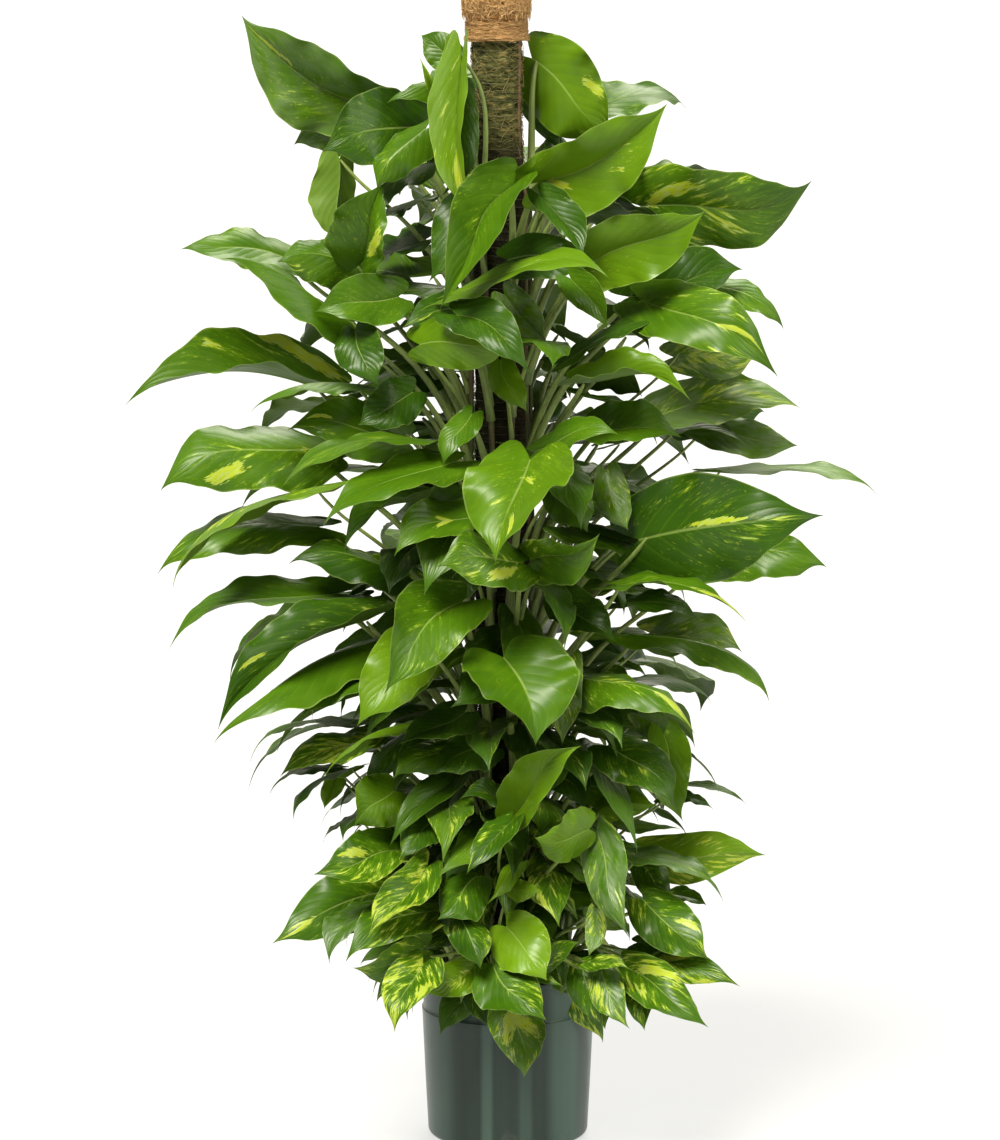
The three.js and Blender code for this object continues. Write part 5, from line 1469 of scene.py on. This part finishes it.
def pot_material(settings):
    made, graph, shader = material("moulded_plastic", 0.3, 0.3)
    place = graph.place()
    across, _, height = graph.parts(place)
    drag = graph.grain(place, (50.0, 50.0, 1.5), 3, 0.6)
    dust = graph.noise(place, 30.0, 5, 0.7)
    level = graph.times(drag, 0.25)
    # Painted reflections of the studio lamps: upright bands, lighter by their distance across the view.
    for middle, half, strength in REFLECTION_BANDS:
        off = graph.math("ABSOLUTE", graph.math("SUBTRACT", across, middle * MM))
        level = graph.times_plus(graph.below(off, 0.3 * half * MM, half * MM), strength, level)
    # Darker plastic where the level is low, up to three times lighter on the painted reflections.
    tint = graph.mix(level, scaled(settings.plastic, 0.55), scaled(settings.plastic, 3))
    low = graph.times_plus(graph.below(height, 0.0, 0.05), 0.3, 0.06)
    dusty = graph.times(graph.above(dust, 0.5, 0.8), low)
    graph.put(shader, "Base Color", graph.mix(dusty, tint, DUST))
    rough = graph.times_plus(dust, 0.16, 0.24)
    graph.put(shader, "Roughness", graph.times_plus(dusty, 0.4, rough))
    skin = graph.noise(place, 1400.0, 2, 0.5)
    wave = graph.grain(place, (14.0, 14.0, 1.2), 2, 0.5)
    relief = graph.times_plus(wave, 6.0, graph.times(skin, 0.15))
    graph.put(shader, "Normal", graph.bump(relief, 0.0005, 0.5))
    return made


def mix_material(settings):
    made, graph, shader = material("potting_mix", 0.92, 0.3)
    shade = graph.attribute("shade")
    grain = graph.noise(graph.place(), 240.0, 5, 0.7)
    tint = graph.mix(grain, scaled(settings.mix, 0.35), scaled(settings.mix, 2.1))
    tint = graph.over(tint, MIX_BARK, graph.above(shade, 0.72, 0.9), 0.75)
    tint = graph.mix(graph.above(shade, 0.965, 0.97), tint, MIX_PERLITE)
    graph.put(shader, "Base Color", tint)
    graph.put(shader, "Normal", graph.bump(grain, 0.002, 0.8))
    return made


# ---- Pole ----

# The bore that the stake fills, and the stake's top, as in the solids.
STAKE = {"bore": 16.6, "top": 1588.6}
# Points of a profile nearer to the axis than this stay plain: the bore and the middle of the top.
NEAR_BORE = 20
POLE_SIDES, SURFACE_SIDES = 110, 96
MOSS_ROWS = 260
THREAD_PITCH = 11
WOOD_DARK, WOOD_PALE = (0.16, 0.09, 0.045), (0.42, 0.28, 0.15)
THREAD_DARK, THREAD_PALE = (0.03, 0.034, 0.016), (0.16, 0.16, 0.09)
# The moss's brown seam: its direction round the pole in radians, and how far to each side it fades.
SEAM = {"at": -0.72, "from": 0.13, "to": 0.22}
SEAM_BROWN = (0.42, 0.22, 0.15)
# Heights in metres: the moss is darkened to near black up to the first, and its own colour from the second.
MOSS_DARKENING = {"from": 1.35, "to": 1.395}
MOSS_DARKEST = (0.012, 0.010, 0.006)


def pole_surface(name, rings, radius_at, foot, top):
    """A tube wall that leans with the pole."""
    mesh = revolve(name, [(radius_at(z), z) for z in evenly(foot, top, rings)], SURFACE_SIDES, closed=False)
    mesh.transform(LEANED)
    return mesh


def lumpy(turn, z, round_scale, z_scale, finer, heights):
    """Two sizes of lumps on the pole; the finer ones are as many times smaller."""
    spot = Vector((math.cos(turn) * round_scale, math.sin(turn) * round_scale, z / z_scale))
    return heights[0] * noise.noise(spot) + heights[1] * noise.noise(spot * finer)


def sleeve_radius(z):
    return SLEEVE["radius"] + 0.9 * math.sin(z / 61) + 0.7 * math.sin(z / 23)


def pole_piece(name, profile, wobble, made, crease, slot, node):
    """A solid turned round the pole's axis, in place of the node's."""
    body = weld(revolve(name, profile, POLE_SIDES, wobble=wobble))
    body.transform(LEANED)
    body.materials.append(made)
    smooth(body, crease)
    piece(name, body, slot, node)


def moss_material(settings, strands=False):
    made, graph, shader = material("moss_strands" if strands else "bound_moss", 0.9, 0.2)
    place = graph.place()
    x, y, height = graph.parts(place)
    wound = graph.grain(place, (60.0, 60.0, 260.0), 4, 0.7)
    patch = graph.grain(place, (60.0, 60.0, 120.0), 3, 0.6)
    if strands:
        level = graph.times_plus(patch, 0.5, graph.times(graph.attribute("shade"), 0.6))
    else:
        level = graph.times_plus(patch, 0.4, graph.times(wound, 0.6))
    tint = graph.mix(graph.above(level, 0.38, 0.52), scaled(settings.moss, 0.06), settings.moss)
    tint = graph.over(tint, settings.straw, graph.above(level, 0.52, 0.66), 0.95)
    around = graph.math("ARCTAN2", y, x)
    off_seam = graph.math("ABSOLUTE", graph.math("SUBTRACT", around, SEAM["at"]))
    tint = graph.over(tint, SEAM_BROWN, graph.below(off_seam, SEAM["from"], SEAM["to"]), 0.55)
    # Darkened to near black below the given heights.
    tint = graph.over(tint, MOSS_DARKEST, graph.below(height, MOSS_DARKENING["from"], MOSS_DARKENING["to"]), 0.86)
    graph.put(shader, "Base Color", tint)
    if not strands:
        graph.put(shader, "Normal", graph.bump(wound, 0.004, 0.9))
    return made


def coir_material(settings, name, straight=False):
    made, graph, shader = material(name, 0.82, 0.25)
    place = graph.place()
    hair = graph.grain(place, (60.0, 60.0, 700.0) if straight else (260.0, 260.0, 60.0), 4, 0.7)
    patch = graph.noise(place, 42.0, 3, 0.6)
    level = graph.times_plus(hair, 0.45, graph.times(patch, 0.35))
    level = graph.times_plus(graph.attribute("shade"), 0.35, level)
    tint = graph.mix(graph.above(level, 0.3, 0.75), settings.coir_shade, settings.coir)
    graph.put(shader, "Base Color", tint)
    graph.put(shader, "Normal", graph.bump(hair, 0.003, 0.8))
    return made


# ---- Stage ----

# Large soft lamps: height above the horizon, direction they stand in (0 in front, positive to the
# right), strength and apparent width, in degrees.
SUNS = {
    "key": (56, -28, 6.7, 26),
    "fill": (30, 60, 1.5, 35),
    "back": (48, 165, 1.8, 30),
}
# The colour of the lamps and of the soft light all round.
WARM = (1.0, 0.975, 0.82)
# The soft light's strength from the viewer's side, from the pale backdrop behind, and as the
# camera sees it.
SOFT_LIGHT = {"front": 0.14, "back": 0.6, "seen": 1.1}
FLOOR = {"color": (0.2, 0.2, 0.21, 1), "glow": 0.62, "reach": 400.0}
# The camera stands at the eye; its pitch is down from the horizon, in degrees.
CAMERA = {"lens": 135, "sensor": 36, "clip": 1000, "pitch": 8.18}


# ---- Operators ----

class POTHOS_OT_stage(bpy.types.Operator):
    """Sets a pale floor, soft studio light and the camera"""
    bl_idname = "pothos.stage"
    bl_label = "Stage"

    def execute(self, context):
        floor = bpy.data.meshes.new("floor")
        reach = FLOOR["reach"]
        floor.from_pydata([(-reach, -reach, 0), (reach, -reach, 0), (reach, reach, 0), (-reach, reach, 0)],
                          [], [(0, 1, 2, 3)])
        pale, _, shader = material("pale_floor", 0.6, 0.2)
        shader.inputs["Base Color"].default_value = FLOOR["color"]
        shader.inputs["Emission Color"].default_value = (1, 1, 1, 1)
        shader.inputs["Emission Strength"].default_value = FLOOR["glow"]
        floor.materials.append(pale)
        stage = bpy.data.objects.new("floor", floor)
        context.scene.collection.objects.link(stage)

        self.soft_light(context)
        for name, (height, direction, strength, width) in SUNS.items():
            lamp = bpy.data.lights.new(name, "SUN")
            lamp.energy, lamp.angle, lamp.color = strength, math.radians(width), WARM
            holder = bpy.data.objects.new(name, lamp)
            holder.rotation_euler = (math.radians(90 - height), 0, math.radians(direction))
            context.scene.collection.objects.link(holder)

        lens = bpy.data.cameras.new("camera")
        lens.lens, lens.sensor_width, lens.clip_end = CAMERA["lens"], CAMERA["sensor"], CAMERA["clip"]
        camera = bpy.data.objects.new("camera", lens)
        camera.location = EYE * MM
        camera.rotation_euler = (math.radians(90 - CAMERA["pitch"]), 0, 0)
        context.scene.collection.objects.link(camera)
        context.scene.camera = camera
        context.scene.view_settings.view_transform = "Standard"
        return {"FINISHED"}

    def soft_light(self, context):
        world = bpy.data.worlds.new("studio")
        context.scene.world = world
        world.use_nodes = True
        graph = Graph(world.node_tree)
        background = world.node_tree.nodes["Background"]
        seen = graph.add("ShaderNodeLightPath").outputs["Is Camera Ray"]
        graph.put(background, "Color", graph.mix(seen, WARM, (1, 1, 1)))
        _, deep, _ = graph.parts(graph.add("ShaderNodeTexCoord").outputs["Generated"])
        front, back = SOFT_LIGHT["front"], SOFT_LIGHT["back"]
        soft = graph.times_plus(graph.above(deep, -0.3, 0.7), back - front, front)
        as_seen = graph.times(seen, SOFT_LIGHT["seen"])
        graph.put(background, "Strength", graph.math("MAXIMUM", soft, as_seen))


class POTHOS_OT_pot(bpy.types.Operator):
    """Turns the pot, with its stepped collar, rolled rim and drain holes"""
    bl_idname = "pothos.pot"
    bl_label = "Pot"

    def execute(self, context):
        shell = weld(revolve("nursery_pot", pot_profile(), POT_SIDES))
        cutter = bpy.data.objects.new("drains", drain_cutter())
        carrier = bpy.data.objects.new("pot_blank", shell)
        for made in (cutter, carrier):
            context.scene.collection.objects.link(made)
        cut = carrier.modifiers.new("drains", "BOOLEAN")
        cut.operation, cut.object = "DIFFERENCE", cutter
        graph = context.evaluated_depsgraph_get()
        mesh = bpy.data.meshes.new_from_object(carrier.evaluated_get(graph), depsgraph=graph)
        for made in (cutter, carrier):
            bpy.data.objects.remove(made)
        mesh.materials.clear()
        mesh.materials.append(pot_material(context.scene.pothos_pot))
        smooth(mesh, POT_CREASE)
        piece("nursery_pot", mesh, "pot_plastic", "pot")
        return {"FINISHED"}


class POTHOS_OT_mix(bpy.types.Operator):
    """Fills the pot with crumbly potting mix"""
    bl_idname = "pothos.mix"
    bl_label = "Potting mix"

    def execute(self, context):
        settings = context.scene.pothos_pot
        floor, corner = POT["floor"] + 1, POT["corner"]
        wall = POT["collar"] - POT["wall"] - 0.5
        foot = pot_outer(POT["floor"] + corner) - POT["wall"] - 1
        edge_z, middle_z, rings = SOIL["edge_z"], SOIL["middle_z"], MIX_RINGS
        profile = [(0, floor), (foot - corner, floor), (foot, floor + corner)]
        profile += [(wall, POT["shoulder_z"] + 3), (wall, edge_z)]
        profile += [(wall * (1 - i / rings), edge_z - 1 + (middle_z - edge_z) * i / rings)
                    for i in range(1, rings + 1)]
        bed = weld(revolve("mix_bed", profile, MIX_SIDES))
        for point in bed.vertices:
            if point.co.z > (edge_z - 4) * MM and point.co.xy.length < (wall - 1) * MM:
                lump = sum(noise.noise(point.co * often) * height for often, height in MIX_LUMPS)
                point.co.z += (lump - MIX_SINK) * MM
        earth = mix_material(settings)
        bed.materials.append(earth)
        smooth(bed, 60)
        piece("mix_bed", bed, "potting_mix", "potting_soil")

        cover = revolve("mix_cover", [(wall - 4, edge_z - 2), (38, middle_z - 2)], 48, closed=False)
        grown_piece("mix_crumbs", cover, crumb_tree(), "potting_mix", {
            "Density": 70000.0, "Size": settings.crumb, "Seed": 4, "Material": earth})
        return {"FINISHED"}


class POTHOS_OT_pole(bpy.types.Operator):
    """Wraps the pole in bound moss, coir cord and a coir head"""
    bl_idname = "pothos.pole"
    bl_label = "Moss pole"

    def execute(self, context):
        settings = context.scene.pothos_pole
        tree = strand_tree()
        self.stake()
        self.moss(settings, tree)
        self.thread()
        self.neck(settings, tree)
        self.head(settings, tree)
        return {"FINISHED"}

    def stake(self):
        wood, graph, shader = material("stake_wood", 0.75, 0.3)
        grain = graph.grain(graph.place(), (90.0, 90.0, 6.0), 4, 0.6)
        graph.put(shader, "Base Color", graph.mix(grain, WOOD_DARK, WOOD_PALE))
        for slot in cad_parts["pole_stake"].material_slots:
            slot.material = wood

    def moss(self, settings, tree):
        foot, top, bore = SLEEVE["foot"], SLEEVE["top"], STAKE["bore"]
        profile = [(sleeve_radius(z) - 1.6, z) for z in evenly(foot, top, MOSS_ROWS)]
        profile += [(bore, top), (bore, foot)]

        def lumps(turn, z, r):
            return 0 if r < NEAR_BORE else lumpy(turn, z, 2.2, 9, 2.7, (1.5, 0.8))

        pole_piece("moss_body", profile, lumps, moss_material(settings), 60, "moss", "moss_sleeve")

        low = SOIL["middle_z"]
        surface = pole_surface("moss_surface", 60, lambda z: sleeve_radius(z) - 1.2, low, top - 2)
        grown_piece("moss_strands", surface, tree, "moss", {
            "Density": 27000.0, "Length": 0.015, "Radius": settings.strand, "Bow": 0.22, "Stand": 0.09,
            "Spread": 0.75, "Seed": settings.seed, "Material": moss_material(settings, True)})

        straw, _, shader = material("pale_straw", 0.7, 0.3)
        shader.inputs["Base Color"].default_value = (*scaled(settings.straw, 0.8), 1)
        high = pole_surface("straw_surface", 20, lambda z: sleeve_radius(z) - 0.3, 1250, top - 4)
        grown_piece("moss_straws", high, tree, "moss", {
            "Density": 2000.0, "Length": 0.022, "Radius": 0.0004, "Bow": 0.2, "Stand": 0.05,
            "Spread": 1.3, "Seed": settings.seed + 3, "Material": straw})

    def thread(self):
        made, graph, shader = material("binding_thread", 0.5, 0.4)
        worn = graph.noise(graph.place(), 50.0, 3, 0.6)
        graph.put(shader, "Base Color", graph.mix(worn, THREAD_DARK, THREAD_PALE))
        low = SOIL["middle_z"] + 2
        height = SLEEVE["top"] - 2 - low
        mesh = grown("moss_thread", bpy.data.meshes.new("thread_seat"), winding_tree(), {
            "Turns": height / THREAD_PITCH, "Radius": (SLEEVE["radius"] + 0.6) * MM, "Height": height * MM,
            "Cord": 0.00028, "Points": 40, "Sides": 4, "Material": made})
        mesh.transform(LEANED @ Matrix.Translation((0, 0, low * MM)))
        piece("moss_thread", mesh, "moss")

    def neck(self, settings, tree):
        foot, top, bore = SLEEVE["top"] + 0.3, NECK["top"], STAKE["bore"]
        radius, flare = NECK["radius"], NECK["flare"]
        profile = [(bore, foot), (flare - 2, foot), (flare - 1, foot + 2), (radius + 1, foot + 7)]
        profile += [(radius, z) for z in (foot + 12, foot + 18, top)] + [(bore, top)]

        def rough(turn, z, r):
            spot = Vector((math.cos(turn) * 4, math.sin(turn) * 4, z / 3))
            return 0.5 * noise.noise(spot) if r > NEAR_BORE else 0

        wrap = coir_material(settings, "wound_coir", True)
        pole_piece("neck_wrap", profile, rough, wrap, 50, "coir_twine", "neck_binding")

        def radius_at(z):
            return radius + (2 if z < foot + 5 else 0.6)

        surface = pole_surface("neck_surface", 8, radius_at, foot + 1, top)
        grown_piece("neck_hairs", surface, tree, "coir_twine", {
            "Density": 260000.0, "Length": 0.024, "Radius": settings.fibre, "Bow": 0.12, "Stand": 0.03,
            "Spread": 0.28, "Seed": settings.seed + 1, "Material": wrap})

    def head(self, settings, tree):
        foot, top, radius, bore = NECK["top"] + 0.3, HEAD["top"], HEAD["radius"], STAKE["bore"]
        profile = [(bore, foot), (radius - 8, foot), (radius - 4, foot + 6), (radius - 3, foot + 24)]
        profile += [(radius - 4, top - 14), (radius - 8, top - 6), (radius - 18, top - 3)]
        profile += [(radius - 30, top - 2), (0, top - 2), (0, STAKE["top"]), (bore, STAKE["top"])]

        def tufts(turn, z, r):
            return 0 if r < NEAR_BORE else lumpy(turn, z, 3, 18, 3.1, (2.0, 1.0))

        fibre = coir_material(settings, "loose_coir")
        pole_piece("coir_core", profile, tufts, fibre, 60, "coir_fibre", "coir_head")
        points = [(radius - 4, foot + 10), (radius - 3, foot + 24), (radius - 4, top - 12)]
        points += [(radius - 12, top - 5), (6, top - 3)]
        cover = revolve("coir_cover", points, 64, closed=False)
        cover.transform(LEANED)
        grown_piece("coir_hairs", cover, tree, "coir_fibre", {
            "Density": 180000.0, "Length": 0.026, "Radius": settings.fibre, "Bow": 0.3, "Stand": 0.16,
            "Spread": 3.14, "Seed": settings.seed + 2, "Material": fibre})


# Each stem's and each leaf's seed is a step past the one before.
STEM_SEED_STEP = 0.37
LEAF_SEED_STEP = 1.7


class POTHOS_OT_vines(bpy.types.Operator):
    """Grows every leafy stem with its petioles and blades"""
    bl_idname = "pothos.vines"
    bl_label = "Vines"

    def execute(self, context):
        settings = context.scene.pothos_leaf
        materials = [blade_material(settings), blade_material(settings, False),
                     stalk_material(settings), stem_material(settings)]
        skins = {stem.piece: Skin() for stem in STEMS}
        for index, stem in enumerate(STEMS):
            add_stem(skins[stem.piece], stem, STEM_SEED_STEP * index)
        placed = placed_leaves()
        for index, (leaf, stem, curve, look) in enumerate(placed + fill_leaves(placed)):
            seed = LEAF_SEED_STEP * index
            add_petiole(skins[stem.piece], leaf, curve, look, seed)
            add_blade(skins[stem.piece], leaf, look, seed, settings)
        for stem in STEMS:
            mesh = skins[stem.piece].mesh(stem.piece, materials)
            piece(stem.piece, mesh, "leaf", stem.node)
        return {"FINISHED"}


class POTHOS_PT_panel(bpy.types.Panel):
    """The steps that build the plant, and their settings"""
    bl_idname = "POTHOS_PT_panel"
    bl_label = "Potted pothos"
    bl_space_type = "VIEW_3D"
    bl_region_type = "UI"
    bl_category = "Pothos"

    def draw(self, context):
        for step in STEPS:
            self.layout.operator(step.bl_idname)
        for group in SETTINGS:
            settings = getattr(context.scene, group)
            for name in settings.__annotations__:
                self.layout.prop(settings, name)


STEPS = (POTHOS_OT_stage, POTHOS_OT_pot, POTHOS_OT_mix, POTHOS_OT_pole, POTHOS_OT_vines)
SETTINGS = {"pothos_leaf": LeafSettings, "pothos_pot": PotSettings, "pothos_pole": PoleSettings}


def register():
    for cls in (*SETTINGS.values(), *STEPS, POTHOS_PT_panel):
        bpy.utils.register_class(cls)
    for name, group in SETTINGS.items():
        setattr(bpy.types.Scene, name, PointerProperty(type=group))


def unregister():
    for name in SETTINGS:
        delattr(bpy.types.Scene, name)
    for cls in (POTHOS_PT_panel, *reversed(STEPS), *SETTINGS.values()):
        bpy.utils.unregister_class(cls)


def main():
    register()
    for step in STEPS:
        group, name = step.bl_idname.split(".")
        getattr(getattr(bpy.ops, group), name)()


if __name__ == "__main__":
    main()
